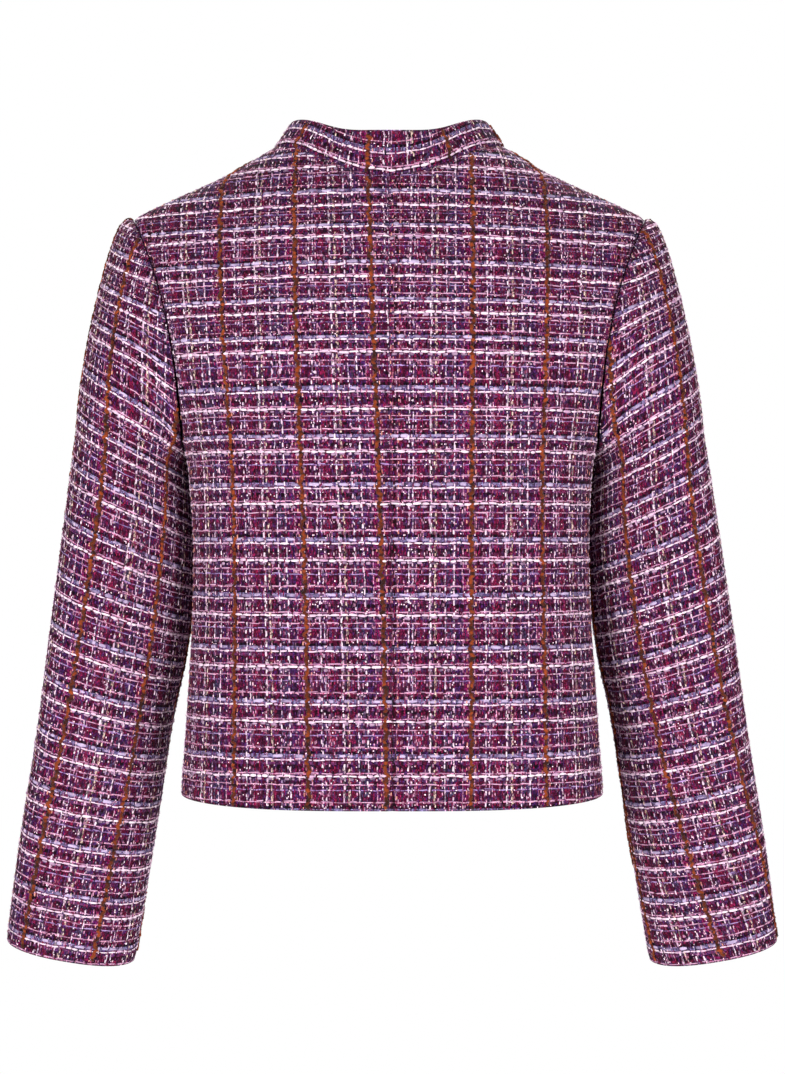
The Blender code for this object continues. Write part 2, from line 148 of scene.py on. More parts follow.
@dataclass(frozen=True)
class CapStart:
    """How strongly the sleeve's cap sets out sideways and downwards from the armhole."""

    name: str
    spread: float
    fall: float


@dataclass(frozen=True)
class Fold:
    """A soft trough or ridge, placed by shares of the piece's width and length."""

    piece: str
    across: float
    along: float
    half_width: float
    half_length: float
    slant: float
    height: float


@dataclass(frozen=True)
class Stripe:
    """A run of threads in the weave's chart, or a band of painted shade, from its first millimetre to the
    next stripe's.
    """

    start: float
    colour: str
    weight: float


@dataclass(frozen=True)
class Yarn:
    """A thick yarn that floats over the cloth in short stretches; sizes in millimetres."""

    name: str
    grain: Grain
    place: float
    width: float
    height: float
    lift: float
    floats: tuple[float, float]
    gaps: tuple[float, float]
    sides: int
    share: float
    finish: str


@dataclass(frozen=True)
class YarnProfile:
    """How a float or link lies: shares of its length, with its thickness and height there."""

    shares: tuple[float, ...]
    swell: tuple[float, ...]
    rise: tuple[float, ...]


# From the underarm up the edge is the armhole, and the form reaches on past it to the arm
BACK_LEVELS = (
    Level("hem", -0.520, 0.1682, 0.1682, 0.1030, 3.2),
    Level("low", -0.440, 0.1628, 0.1628, 0.1000, 2.9),
    Level("waist", -0.350, 0.1580, 0.1580, 0.0970, 2.6),
    Level("chest", -0.280, 0.1592, 0.1592, 0.1005, 2.5),
    Level("underarm", -0.240, 0.1640, 0.1640, 0.1040, 2.45),
    Level("scye_low", -0.215, 0.1735, 0.1650, 0.1058, 2.4),
    Level("scye_mid", -0.162, 0.1960, 0.1700, 0.1070, 2.3),
    Level("scye_high", -0.100, 0.2190, 0.1850, 0.1010, 2.25),
    Level("tip", -0.055, 0.2330, 0.2040, 0.0890, 2.2),
    Level("neck", 0.000, 0.2400, 0.2400, 0.0640, 2.2),
)

FRONT_LEVELS = (
    Level("hem", -0.520, 0.1682, 0.1682, -0.1170, 2.8),
    Level("low", -0.440, 0.1628, 0.1628, -0.1180, 2.6),
    Level("waist", -0.350, 0.1580, 0.1580, -0.1210, 2.4),
    Level("chest", -0.280, 0.1592, 0.1592, -0.1265, 2.4),
    Level("underarm", -0.240, 0.1640, 0.1640, -0.1280, 2.35),
    Level("scye_low", -0.215, 0.1735, 0.1640, -0.1260, 2.3),
    Level("scye_mid", -0.162, 0.1960, 0.1670, -0.1150, 2.2),
    Level("scye_high", -0.100, 0.2190, 0.1840, -0.0890, 2.2),
    Level("tip", -0.055, 0.2330, 0.2040, -0.0680, 2.2),
    Level("neck", 0.000, 0.2400, 0.2400, -0.0500, 2.2),
)

SLEEVE_SECTIONS = (
    SleeveSection("biceps", (0.1634, -0.030, -0.257), (0.2500, 0.002, -0.224), 0.0620, 3.0, 2.0),
    SleeveSection("upper_arm", (0.1594, -0.037, -0.320), (0.2592, 0.006, -0.290), 0.0580, 4.0, 2.1),
    SleeveSection("elbow", (0.1672, -0.045, -0.408), (0.2735, -0.004, -0.383), 0.0520, 6.0, 2.2),
    SleeveSection("forearm", (0.1816, -0.048, -0.481), (0.2850, -0.013, -0.461), 0.0470, 8.0, 2.3),
    SleeveSection("low_arm", (0.1966, -0.051, -0.572), (0.3015, -0.028, -0.555), 0.0420, 9.0, 2.4),
    SleeveSection("cuff", (0.2098, -0.051, -0.653), (0.3140, -0.045, -0.635), 0.0390, 9.0, 2.3),
)

CAP_STARTS = (
    CapStart("top", 0.058, 0.000),
    CapStart("side", 0.048, 0.030),
    CapStart("under", 0.005, 0.012),
)

FOLDS = (
    Fold("back_left", 0.62, 0.52, 0.10, 0.26, 0.10, -0.0022),
    Fold("back_left", 0.86, 0.22, 0.09, 0.20, -0.05, 0.0020),
    Fold("back_right", 0.58, 0.50, 0.10, 0.24, 0.14, -0.0020),
    Fold("back_right", 0.84, 0.20, 0.10, 0.18, -0.08, 0.0022),
    Fold("front_left", 0.70, 0.55, 0.10, 0.22, 0.30, -0.0026),
    Fold("front_left", 0.45, 0.18, 0.12, 0.20, -0.10, 0.0022),
    Fold("front_right", 0.68, 0.52, 0.10, 0.22, 0.26, -0.0026),
    Fold("front_right", 0.48, 0.16, 0.12, 0.20, -0.06, 0.0022),
    Fold("sleeve_left", 0.70, 0.50, 0.13, 0.030, 0.12, -0.0032),
    Fold("sleeve_left", 0.76, 0.58, 0.12, 0.026, -0.10, -0.0026),
    Fold("sleeve_left", 0.26, 0.40, 0.10, 0.100, 0.30, 0.0020),
    Fold("sleeve_left", 0.46, 0.59, 0.07, 0.080, 0.0, -0.0034),
    Fold("sleeve_right", 0.72, 0.48, 0.12, 0.030, 0.10, -0.0030),
    Fold("sleeve_right", 0.74, 0.57, 0.13, 0.028, -0.14, -0.0028),
    Fold("sleeve_right", 0.28, 0.42, 0.10, 0.110, 0.26, 0.0020),
    Fold("sleeve_right", 0.46, 0.59, 0.07, 0.080, 0.0, -0.0034),
)

# Warp threads across one repeat, to the right as seen from behind, from a rust chain yarn.
# The weight says how readily a thread comes up over the wefts.
WARP_CHART = (
    # Painted shade: this near-black stripe and the last one darken the gaps beside the chain's links
    Stripe(0.0, "#3A1216", 0.75),
    Stripe(2.0, "#C08CA8", 0.45),
    Stripe(3.0, "#8A2A55", 0.45),
    Stripe(6.2, "#64204C", 0.35),
    Stripe(10.5, "#E2CFE0", 0.60),
    Stripe(11.5, "#5A3468", 0.40),
    Stripe(13.5, "#D6BFD6", 0.50),
    Stripe(14.5, "#6B3F68", 0.40),
    Stripe(16.1, "#C48AAC", 0.50),
    Stripe(17.1, "#9A3058", 0.45),
    Stripe(21.5, "#621F44", 0.35),
    Stripe(27.0, "#E4D3DA", 0.65),
    Stripe(28.2, "#574D5E", 0.40),
    Stripe(31.1, "#D2B8AE", 0.50),
    Stripe(32.1, "#8A3154", 0.45),
    Stripe(35.8, "#4E2848", 0.35),
    Stripe(38.8, "#DECDE2", 0.60),
    Stripe(39.8, "#5F5678", 0.45),
    Stripe(45.4, "#E8D6E6", 0.65),
    Stripe(46.6, "#54346C", 0.40),
    Stripe(52.2, "#CB92B4", 0.50),
    Stripe(53.2, "#982C6E", 0.45),
    Stripe(57.2, "#C47F90", 0.50),
    # Painted shade: a near-black stripe in the gaps beside the chain's links
    Stripe(58.2, "#3A1216", 0.75),
)

# Weft picks down one repeat, from a lilac slub; the weight says how much of a pick shows
WEFT_CHART = (
    Stripe(0.0, "#A298C2", 0.70),
    Stripe(1.6, "#7C6494", 0.45),
    Stripe(2.9, "#E6D2E4", 0.60),
    Stripe(4.0, "#74466E", 0.30),
    Stripe(5.2, "#93588A", 0.45),
    # Painted shadow: a near-black row a few millimetres below the slub and the fine pick
    Stripe(7.5, "#2E0E28", 0.50),
    Stripe(10.4, "#6C2C54", 0.25),
    Stripe(13.1, "#EBB0D0", 0.95),
    Stripe(14.1, "#5C2248", 0.25),
    Stripe(15.2, "#F2E2EE", 0.90),
    # Painted shadow: a near-black row just below the thick white pick
    Stripe(16.7, "#1C0616", 0.75),
    Stripe(18.2, "#644A7A", 0.35),
    Stripe(20.0, "#602046", 0.30),
    Stripe(22.0, "#EBB2CE", 0.95),
    Stripe(23.0, "#66284E", 0.20),
    Stripe(25.8, "#B898CC", 0.75),
    Stripe(26.8, "#702E54", 0.20),
    Stripe(30.3, "#5E244C", 0.25),
    Stripe(35.0, "#F0B6D0", 1.00),
    Stripe(36.0, "#602649", 0.25),
    # Painted shadow: a near-black row just above the slub
    Stripe(38.8, "#140A20", 0.80),
    Stripe(40.3, "#A298C2", 0.70),
)

# Odd threads spun into the ground, which break up the chart's stripes
FLECKS = (
    Stripe(0.00, "#2A1028", 1.0),
    Stripe(0.18, "#6C1844", 1.0),
    Stripe(0.40, "#9C2E62", 1.0),
    Stripe(0.60, "#6E5078", 1.0),
    Stripe(0.76, "#6A387E", 1.0),
    Stripe(0.91, "#DDA8C4", 1.0),
)

YARNS = (
    Yarn("white_pick", Grain.WEFT, 16.0, 2.0, 1.3, 0.32, (3.8, 8.2), (-0.4, 0.5), 5, 1.00, "white"),
    Yarn("slub_pick", Grain.WEFT, 0.6, 2.8, 0.8, -0.12, (3.0, 9.0), (0.8, 10.0), 5, 1.00, "smoke"),
    Yarn("fine_pick", Grain.WEFT, 3.4, 1.4, 1.0, 0.32, (3.4, 8.0), (-0.4, 0.5), 5, 1.00, "white"),
    Yarn("pink_pick", Grain.WEFT, 13.6, 0.7, 0.6, 0.24, (5.0, 13.0), (0.4, 2.4), 4, 0.90, "pink"),
    Yarn("rosy_pick", Grain.WEFT, 22.4, 0.7, 0.6, 0.24, (5.0, 13.0), (0.4, 2.4), 4, 0.95, "pink"),
    Yarn("dusk_pick", Grain.WEFT, 26.2, 0.6, 0.5, 0.20, (4.0, 11.0), (0.8, 5.0), 4, 0.90, "lilac"),
    Yarn("clear_pick", Grain.WEFT, 35.4, 0.8, 0.7, 0.26, (5.0, 13.0), (0.3, 1.8), 4, 1.00, "pink"),
    Yarn("puff_pick", Grain.WEFT, 17.9, 1.9, 0.7, 0.10, (2.0, 5.5), (0.8, 5.5), 4, 1.00, "puff"),
    Yarn("coral_end", Grain.WARP, 3.3, 0.9, 0.6, 0.26, (1.6, 4.2), (4.0, 10.0), 4, 1.00, "coral"),
    Yarn("white_end", Grain.WARP, 11.0, 1.1, 0.7, 0.28, (1.4, 4.6), (2.0, 6.5), 4, 1.00, "white"),
    Yarn("snow_end", Grain.WARP, 14.0, 0.9, 0.6, 0.26, (1.2, 3.6), (3.0, 9.0), 4, 1.00, "white"),
    Yarn("petal_end", Grain.WARP, 16.6, 0.8, 0.6, 0.25, (1.2, 3.4), (4.0, 11.0), 4, 1.00, "blush"),
    Yarn("long_end", Grain.WARP, 27.6, 1.2, 0.8, 0.30, (1.6, 5.6), (1.6, 5.5), 4, 1.00, "white"),
    Yarn("cream_end", Grain.WARP, 31.6, 1.0, 0.7, 0.27, (1.4, 3.8), (3.0, 9.0), 4, 1.00, "cream"),
    Yarn("pale_end", Grain.WARP, 39.3, 1.0, 0.7, 0.28, (1.4, 4.4), (2.4, 7.0), 4, 1.00, "white"),
    Yarn("bright_end", Grain.WARP, 45.9, 1.2, 0.8, 0.30, (1.6, 5.6), (1.8, 6.0), 4, 1.00, "white"),
    Yarn("rose_end", Grain.WARP, 52.7, 0.8, 0.6, 0.25, (1.4, 3.8), (4.0, 11.0), 4, 1.00, "blush"),
    Yarn("warm_end", Grain.WARP, 56.3, 0.9, 0.6, 0.26, (1.6, 4.2), (4.0, 10.0), 4, 1.00, "coral"),
)


THICK_FLOAT = YarnProfile(
    (0.0, 0.12, 0.5, 0.88, 1.0), (0.0, 0.75, 1.0, 0.75, 0.0), (-1.4, 0.0, 1.0, 0.0, -1.4)
)
FINE_FLOAT = YarnProfile((0.0, 0.2, 0.8, 1.0), (0.0, 1.0, 1.0, 0.0), (-1.4, 0.9, 0.9, -1.4))
CHAIN_LINK = YarnProfile((-0.5, -0.28, 0.28, 0.5), (0.0, 1.0, 1.0, 0.0), (-1.2, 0.6, 1.0, -1.0))


def unit(vectors: np.ndarray) -> np.ndarray:
    """Vectors scaled to length one along their last axis."""
    return vectors / np.maximum(np.linalg.norm(vectors, axis=-1, keepdims=True), TINY_LENGTH)


def lengths_along(points: np.ndarray, axis: int) -> np.ndarray:
    """Length from the first point of each line of a grid.

    Args:
        points: Grid of points, with coordinates on the last axis.
        axis: Axis along which the lines run.

    Returns:
        Cumulative length at every point, in metres.
    """
    steps = np.linalg.norm(np.diff(points, axis=axis), axis=-1)
    start = np.zeros_like(np.take(steps, [0], axis=axis))
    return np.concatenate([start, np.cumsum(steps, axis=axis)], axis=axis)


def at_shares(points: np.ndarray, shares: np.ndarray) -> np.ndarray:
    """Points at shares of the length of a fine polyline.

    Args:
        points: The polyline, one row per point.
        shares: Wanted shares of its length, from 0 to 1.

    Returns:
        One point per share.
    """
    length = lengths_along(points, 0)
    return np.stack([np.interp(shares * length[-1], length, points[:, k]) for k in range(3)], axis=1)


def cubic(
    t: np.ndarray, step: np.ndarray | float, ends: tuple[np.ndarray, ...], slopes: tuple[np.ndarray, ...]
) -> np.ndarray:
    """Values on a cubic from one end to the other.

    Args:
        t: Shares of the way.
        step: Length of the way.
        ends: Values at the start and the end.
        slopes: Slopes at the start and the end.

    Returns:
        Values at the shares.
    """
    return (
        (2 * t**3 - 3 * t**2 + 1) * ends[0]
        + (t**3 - 2 * t**2 + t) * step * slopes[0]
        + (3 * t**2 - 2 * t**3) * ends[1]
        + (t**3 - t**2) * step * slopes[1]
    )


def smooth_through(stations: np.ndarray, values: np.ndarray, wanted: np.ndarray) -> np.ndarray:
    """Values on a smooth cubic through a table's rows.

    Args:
        stations: Increasing station of each row.
        values: The rows' values, with rows on the first axis.
        wanted: Stations at which to read.

    Returns:
        Values at the wanted stations.
    """
    wanted = np.asarray(wanted, dtype=float)
    steps = np.diff(stations)
    spread = (-1,) + (1,) * (values.ndim - 1)
    slopes = np.diff(values, axis=0) / steps.reshape(spread)
    blend = (steps[1:] / (steps[1:] + steps[:-1])).reshape(spread)
    inner = slopes[:-1] * blend + slopes[1:] * (1.0 - blend)
    tangents = np.concatenate([slopes[:1], inner, slopes[-1:]])
    span = np.clip(np.searchsorted(stations, wanted, side="right") - 1, 0, len(steps) - 1)
    shape = wanted.shape + (1,) * (values.ndim - 1)
    step = steps[span].reshape(shape)
    t = (wanted - stations[span]).reshape(shape) / step
    return cubic(t, step, (values[span], values[span + 1]), (tangents[span], tangents[span + 1]))


def grid_normals(points: np.ndarray, wraps: bool) -> np.ndarray:
    """Unit normals of a grid of points, on one side of it.

    Args:
        points: Rows by columns of points.
        wraps: Whether the last column joins the first.

    Returns:
        One normal per point.
    """
    if wraps:
        around = np.roll(points, -1, axis=1) - np.roll(points, 1, axis=1)
    else:
        around = np.gradient(points, axis=1)
    return unit(np.cross(around, np.gradient(points, axis=0)))


def shoulder_height(x: np.ndarray) -> np.ndarray:
    """Height of the shoulder line, carried on to the neck.

    Args:
        x: Distances from the centre line.

    Returns:
        Heights in metres.
    """
    inside = 0.5 * SHOULDER_SLOPE * (NECK_HALF_WIDTH**2 - x**2) / NECK_HALF_WIDTH
    share = np.clip((x - NECK_HALF_WIDTH) / (TIP_X - NECK_HALF_WIDTH), 0.0, 1.0)
    outside = -SHOULDER_SLOPE * (x - NECK_HALF_WIDTH) - SHOULDER_SAG * np.sin(np.pi * share**SAG_SHAPE) ** 2
    return np.where(x < NECK_HALF_WIDTH, inside, outside)


def swayed(points: np.ndarray) -> np.ndarray:
    """Points moved sideways below the shoulders, as the jacket hangs a little off plumb.

    Args:
        points: Points of a piece, with coordinates on the last axis.

    Returns:
        The moved points.
    """
    share = np.clip((SWAY_TOP - points[..., 2]) / (SWAY_TOP - SWAY_BOTTOM), 0.0, 1.0)
    shift = SWAY * share**2 * (3.0 - 2.0 * share)
    return points + shift[..., None] * np.array([1.0, 0.0, 0.0])


def fold_heights(piece: str, points: np.ndarray, wraps: bool) -> np.ndarray:
    """How far the folds move each point of a piece out.

    Args:
        piece: Name of the piece in the table of folds.
        points: The piece's grid.
        wraps: Whether the grid is a tube.

    Returns:
        Heights in metres, rows by columns.
    """
    closed = np.concatenate([points, points[:, :1]], axis=1) if wraps else points
    along = lengths_along(points, 0).mean(axis=1)
    along = (along / along[-1])[:, None]
    across = lengths_along(closed, 1).mean(axis=0)
    across = (across / across[-1])[None, : points.shape[1]]
    height = np.zeros(points.shape[:2])
    for fold in FOLDS:
        if fold.piece != piece:
            continue
        sideways = across - fold.across - fold.slant * (along - fold.along)
        if wraps:
            sideways = (sideways + 0.5) % 1.0 - 0.5
        reach = (sideways / fold.half_width) ** 2 + ((along - fold.along) / fold.half_length) ** 2
        height += fold.height * np.exp(-reach)
    if not wraps:
        height *= np.sin(np.pi * np.clip(across, 0.0, 1.0)) ** FOLD_FADE
    return height * np.sin(np.pi * np.clip(along, 0.0, 1.0)) ** FOLD_FADE


@dataclass(frozen=True)
class WeftBeat:
    """How unevenly the weft is beaten up: lengths down the cloth and places in its even chart."""

    rows: tuple[float, ...]
    rows_above: int
    thick_pick: float
    spare_repeats: float = 12.0

    def table(self) -> tuple[np.ndarray, np.ndarray]:
        """The beat as a table that runs on past both ends of the cloth.

        Returns:
            Lengths down the cloth and the chart's places there, in metres.
        """
        spare = self.spare_repeats * WEFT_REPEAT
        rows = np.array(self.rows) * MM
        even = self.thick_pick * MM + WEFT_REPEAT * (np.arange(len(rows)) - self.rows_above)
        rows = np.concatenate([[rows[0] - spare], rows, [rows[-1] + spare]])
        return rows, np.concatenate([[even[0] - spare], even, [even[-1] + spare]])

    def places(self, lengths: np.ndarray) -> np.ndarray:
        """Places in the even chart at lengths down the cloth."""
        rows, even = self.table()
        return np.interp(lengths, rows, even)

    def stretch(self, place: float) -> float:
        """Length of the cloth round a place of the chart, as a share of the even repeat.

        Args:
            place: The place in metres.

        Returns:
            The share, below one where the picks are crowded.
        """
        rows, even = self.table()
        ends = np.interp([place - 0.5 * WEFT_REPEAT, place + 0.5 * WEFT_REPEAT], even, rows)
        return float(ends[1] - ends[0]) / WEFT_REPEAT


WEFT_BEAT = WeftBeat(
    rows=(-212.0, -176.0, -150.5, -118.0, -90.5, -60.6, -16.2, 16.0, 56.0, 99.5, 141.5, 181.0, 222.7),
    rows_above=7,
    thick_pick=16.0,
)


def linear(colour: str) -> tuple[float, float, float, float]:
    """An sRGB hex colour as linear light.

    Args:
        colour: Six hex digits after a hash.

    Returns:
        Red, green, blue and alpha.
    """
    values = [int(colour[k : k + 2], 16) / 255.0 for k in (1, 3, 5)]
    values = [v / 12.92 if v <= 0.04045 else ((v + 0.055) / 1.055) ** 2.4 for v in values]
    return (*values, 1.0)


@dataclass(frozen=True)
class Step:
    """One node of a recipe: what it gives, Blender's kind and mode for it, and its inputs.

    An input is a value or the name of an earlier step. A colon and an output's name or number
    follow where it isn't that step's first output.
    """

    gives: str
    kind: str
    mode: str = ""
    inputs: dict = field(default_factory=dict)


# What Blender calls a node's mode
MODE_NAMES = {
    "Attribute": "attribute_name",
    "Math": "operation",
    "Mix": "data_type",
    "TexNoise": "noise_dimensions",
    "TexWhiteNoise": "noise_dimensions",
    "UVMap": "uv_map",
    "VectorMath": "operation",
}

# A mix node's sockets that share a name, by number; its output 2 is the mixed colour
VALUE_A, VALUE_B = 2, 3
COLOUR_A, COLOUR_B = 6, 7


def set_inputs(node: bpy.types.Node, inputs: dict, made: dict[str, bpy.types.Node]) -> None:
    """Sets a node's inputs to values or links them to earlier nodes.

    Args:
        node: The node.
        inputs: Values or names of steps, by the socket's name or number.
        made: Nodes made so far, by their step's name.
    """
    for key, value in inputs.items():
        if isinstance(value, str):
            source, _, output = value.partition(":")
            outputs = made[source].outputs
            socket = outputs[int(output)] if output.isdigit() else outputs[output or 0]
            node.id_data.links.new(socket, node.inputs[key])
        else:
            node.inputs[key].default_value = value


def add_node(tree: bpy.types.NodeTree, step: Step, made: dict[str, bpy.types.Node]) -> None:
    """Adds a node with its settings and links.

    Args:
        tree: Node tree that gets the node.
        step: What to add.
        made: Nodes made so far, which the new one joins.
    """
    node = tree.nodes.new(f"ShaderNode{step.kind}")
    if step.mode:
        setattr(node, MODE_NAMES[step.kind], step.mode)
    set_inputs(node, step.inputs, made)
    made[step.gives] = node


def make_material(
    name: str, recipe: list[Step], sockets: dict
) -> tuple[bpy.types.Material, dict[str, bpy.types.Node]]:
    """Makes a material from a recipe of nodes.

    Args:
        name: Name of the material.
        recipe: Its nodes in order.
        sockets: The shader's inputs, as values or names of steps.

    Returns:
        The material, and its nodes by their step's name.
    """
    material = bpy.data.materials.new(name)
    material.use_nodes = True
    made = {}
    for step in recipe:
        add_node(material.node_tree, step, made)
    set_inputs(material.node_tree.nodes["Principled BSDF"], sockets, made)
    return material, made


@dataclass
class ClothGrid:
    """Points of a piece's outer face with the grain at each of them.

    U and V are lengths of the flat cut; ends and picks are where the weave's chart is read. A
    tube's last column repeats its first one, with the grain of the seam's other side.
    """

    points: np.ndarray
    normals: np.ndarray
    u: np.ndarray
    v: np.ndarray
    ends: np.ndarray
    picks: np.ndarray
    wraps: bool = False

    def flat_size(self) -> tuple[float, float, float]:
        """Measures the flat cut by its grain.

        Returns:
            Width, length and area, in metres and square metres.
        """
        u, v = self.u, self.v
        across = (u[1:, 1:] - u[:-1, :-1]) * (v[1:, :-1] - v[:-1, 1:])
        down = (v[1:, 1:] - v[:-1, :-1]) * (u[1:, :-1] - u[:-1, 1:])
        return float(np.ptp(u)), float(np.ptp(v)), float(abs(0.5 * (across - down).sum()))

    def runs(self, grain: Grain, place: float) -> list[tuple[np.ndarray, np.ndarray]]:
        """Lines on the cloth along which one yarn lies.

        Args:
            grain: Whether the yarn is a warp or a weft.
            place: The yarn's place among the ends or picks.

        Returns:
            Points and normals of each unbroken stretch.
        """
        values, points, normals = self.ends.T, self.points.swapaxes(0, 1), self.normals.swapaxes(0, 1)
        if grain is Grain.WEFT:
            values, points, normals = self.picks, self.points, self.normals
        if values[-1].mean() < values[0].mean():
            values, points, normals = values[::-1], points[::-1], normals[::-1]
        values = np.maximum.accumulate(values, axis=0)
        lines = values.shape[1]
        above = np.clip((values < place).sum(axis=0), 1, len(values) - 1)
        each = np.arange(lines)
        low, high = values[above - 1, each], values[above, each]
        there = (low < place) & (high >= place)
        share = np.where(there, (place - low) / np.maximum(high - low, TINY_STEP), 0.0)[:, None]
        line = points[above - 1, each] * (1.0 - share) + points[above, each] * share
        facing = unit(normals[above - 1, each] * (1.0 - share) + normals[above, each] * share)
        stretches = []
        edges = np.flatnonzero(np.diff(np.concatenate([[0], there.astype(int), [0]])))
        for start, end in zip(edges[::2], edges[1::2]):
            if end - start >= SHORTEST_RUN:
                stretches.append((line[start:end], facing[start:end]))
        return stretches


@dataclass
class BodyForm:
    """The smooth outer form of one quarter of the body, on the +X side."""

    levels: tuple[Level, ...]
    roll: float
    hem_drop: float
    neck_height: float
    centre_gap: float
    neck_columns: int = 32
    shoulder_columns: int = 28
    low_rows: int = 72
    high_rows: int = 52
    crowding: float = 1.3
    top_spare: float = 0.1
    top_stretch: float = 1.25
    droop: float = 0.012
    neck_search: float = 0.01
    neck_steps: int = 40

    def read(self, key: str, z: np.ndarray) -> np.ndarray:
        """One column of the level table at the given heights."""
        heights = np.array([level.height for level in self.levels])
        return smooth_through(heights, np.array([getattr(level, key) for level in self.levels]), z)

    @property
    def facing(self) -> float:
        """Sign of Y on this half of the body."""
        return math.copysign(1.0, self.levels[0].centre_depth)

    def rounding(self, x: np.ndarray, z: np.ndarray) -> np.ndarray:
        """How far the cloth has rolled over towards the shoulder line.

        Args:
            x: Distances from the centre line.
            z: Heights.

        Returns:
            Shares, from 1 down to 0 on the shoulder line.
        """
        shares = []
        for line in (shoulder_height(x), shoulder_height(np.zeros_like(x))):
            share = np.clip(1.0 - (line - z) / self.roll, 0.0, 1.0)
            shares.append((1.0 - share**ROLL_POWER) ** (1.0 / ROLL_POWER))
        return shares[0] / shares[1]

    def seam_depth(self, z: np.ndarray) -> np.ndarray:
        """Depth of the side seam, which runs up to meet the shoulder seam's depth."""
        rise = np.clip((TIP_HEIGHT - z) / (TIP_HEIGHT - UNDERARM_HEIGHT), 0.0, 1.0)
        return SIDE_SEAM_DEPTH * rise

    def depth(self, x: np.ndarray, z: np.ndarray) -> np.ndarray:
        """Depth of the form at places seen from behind or in front.

        Args:
            x: Distances from the centre line.
            z: Heights.

        Returns:
            Values of Y.
        """
        power = self.read("squareness", z)
        share = np.clip(x / self.read("reach", z), 0.0, 1.0)
        seam = self.seam_depth(z)
        fullness = (1.0 - share**power) ** (1.0 / power) * self.rounding(x, z)
        return seam + (self.read("centre_depth", z) - seam) * fullness

    def angle_at(self, x: np.ndarray, z: np.ndarray) -> np.ndarray:
        """Angle round the body at which the form is this far from the centre."""
        share = np.clip(x / self.read("reach", z), 0.0, 1.0)
        return np.arcsin(share ** (0.5 * self.read("squareness", z)))

    def points(self, angle: np.ndarray, z: np.ndarray) -> np.ndarray:
        """Points of the form at angles and heights.

        Args:
            angle: Angles round the body, from the centre line to the side.
            z: Heights.

        Returns:
            The points, with coordinates on the last axis.
        """
        power = 2.0 / self.read("squareness", z)
        share = np.sin(angle) ** power
        x = self.read("reach", z) * share
        seam = self.seam_depth(z)
        fullness = np.maximum(np.cos(angle), 0.0) ** power * self.rounding(x, z)
        y = seam + (self.read("centre_depth", z) - seam) * fullness
        x = x + self.centre_gap * (1.0 - share)
        return np.stack([x, y + 0.5 * SEAM_GAP * self.facing, z], axis=-1)

    def neckline(self, shares: np.ndarray) -> np.ndarray:
        """The neckline from the centre to the shoulder, where its plan meets the form.

        Args:
            shares: Shares of its length.

        Returns:
            One point per share, with Y as a distance.
        """
        turn = np.linspace(0.0, 0.5 * np.pi, ARC_SAMPLES)
        x = NECK_HALF_WIDTH * np.sin(turn)
        y = abs(self.depth(np.zeros(1), np.array([self.neck_height]))) * np.cos(turn)
        low = np.full_like(x, self.neck_height - self.neck_search)
        high = shoulder_height(x)
        for _ in range(self.neck_steps):
            middle = 0.5 * (low + high)
            outside = abs(self.depth(x, middle)) > y
            low = np.where(outside, middle, low)
            high = np.where(outside, high, middle)
        return at_shares(np.stack([x, y, high], axis=1), shares)

    def column_shares(self) -> np.ndarray:
        """Places the columns, closer together beside the seams.

        Returns:
            Shares of the width.
        """
        neck = NECK_SHARE * np.linspace(0.0, 1.0, self.neck_columns + 1) ** self.crowding
        back = (1.0 - NECK_SHARE) * np.linspace(1.0, 0.0, self.shoulder_columns + 1) ** self.crowding
        return np.concatenate([neck, 1.0 - back[1:]])

    def even_angles(self, shares: np.ndarray) -> np.ndarray:
        """Angles at even steps of length.

        Args:
            shares: Shares of the way round the underarm level.

        Returns:
            One angle per share.
        """
        angle = np.linspace(0.0, 0.5 * np.pi, ARC_SAMPLES)
        length = lengths_along(self.points(angle, np.full_like(angle, UNDERARM_HEIGHT)), 0)
        return np.interp(shares * length[-1], length, angle)

    def grid(self) -> np.ndarray:
        """Lays points over the whole form.

        Returns:
            Rows of points from the hem to the neckline and shoulder seam.
        """
        width = self.column_shares()
        low_angle = self.even_angles(width)
        hem = HEM_SIDE_HEIGHT - self.hem_drop * np.cos(low_angle) ** 2
        share = np.linspace(0.0, 1.0, self.low_rows + 1)[:, None]
        low_z = hem + (UNDERARM_HEIGHT - hem) * share
        low = self.points(np.broadcast_to(low_angle, low_z.shape), low_z)

        neck = self.neckline(width[: self.neck_columns + 1] / NECK_SHARE)
        outward = (width[self.neck_columns + 1 :] - NECK_SHARE) / (1.0 - NECK_SHARE)
        shoulder_x = NECK_HALF_WIDTH + (TIP_X - NECK_HALF_WIDTH) * outward
        top_x = np.concatenate([neck[:, 0], shoulder_x])
        top_z = np.concatenate([neck[:, 2], shoulder_height(shoulder_x)])
        top_angle = self.angle_at(top_x, top_z)
        rise = 0.5 - 0.5 * np.cos(np.linspace(0.0, np.pi, self.high_rows + 1))[1:, None]
        high_z = UNDERARM_HEIGHT + (top_z - UNDERARM_HEIGHT) * rise
        edge_z = high_z[:, -1:]
        edge_angle = self.angle_at(self.read("edge_x", edge_z), edge_z)
        plain = low_angle * (1.0 - rise) + top_angle * rise
        high = self.points(plain + width**2 * (edge_angle - plain[:, -1:]), high_z)
        return np.concatenate([low, high])

    def heights_along_grain(self, points: np.ndarray, across: np.ndarray) -> np.ndarray:
        """Length along the warp above the underarm level at each point of the grid.

        Args:
            points: The form's grid, from hem to neck.
            across: Length of each point from the centre line along its row.

        Returns:
            Lengths in metres, negative below the underarm.
        """
        centre = lengths_along(points[:, :1], 0)[:, 0]
        heights = np.append(points[:, 0, 2], points[-1, 0, 2] + self.top_spare)
        lengths = np.append(centre, centre[-1] + self.top_spare * self.top_stretch)
        up = np.interp(points[..., 2], heights, lengths - centre[self.low_rows])
        rise = np.clip((points[..., 2] - UNDERARM_HEIGHT) / (TIP_HEIGHT - UNDERARM_HEIGHT), 0.0, 1.0)
        return up + self.droop * across * rise


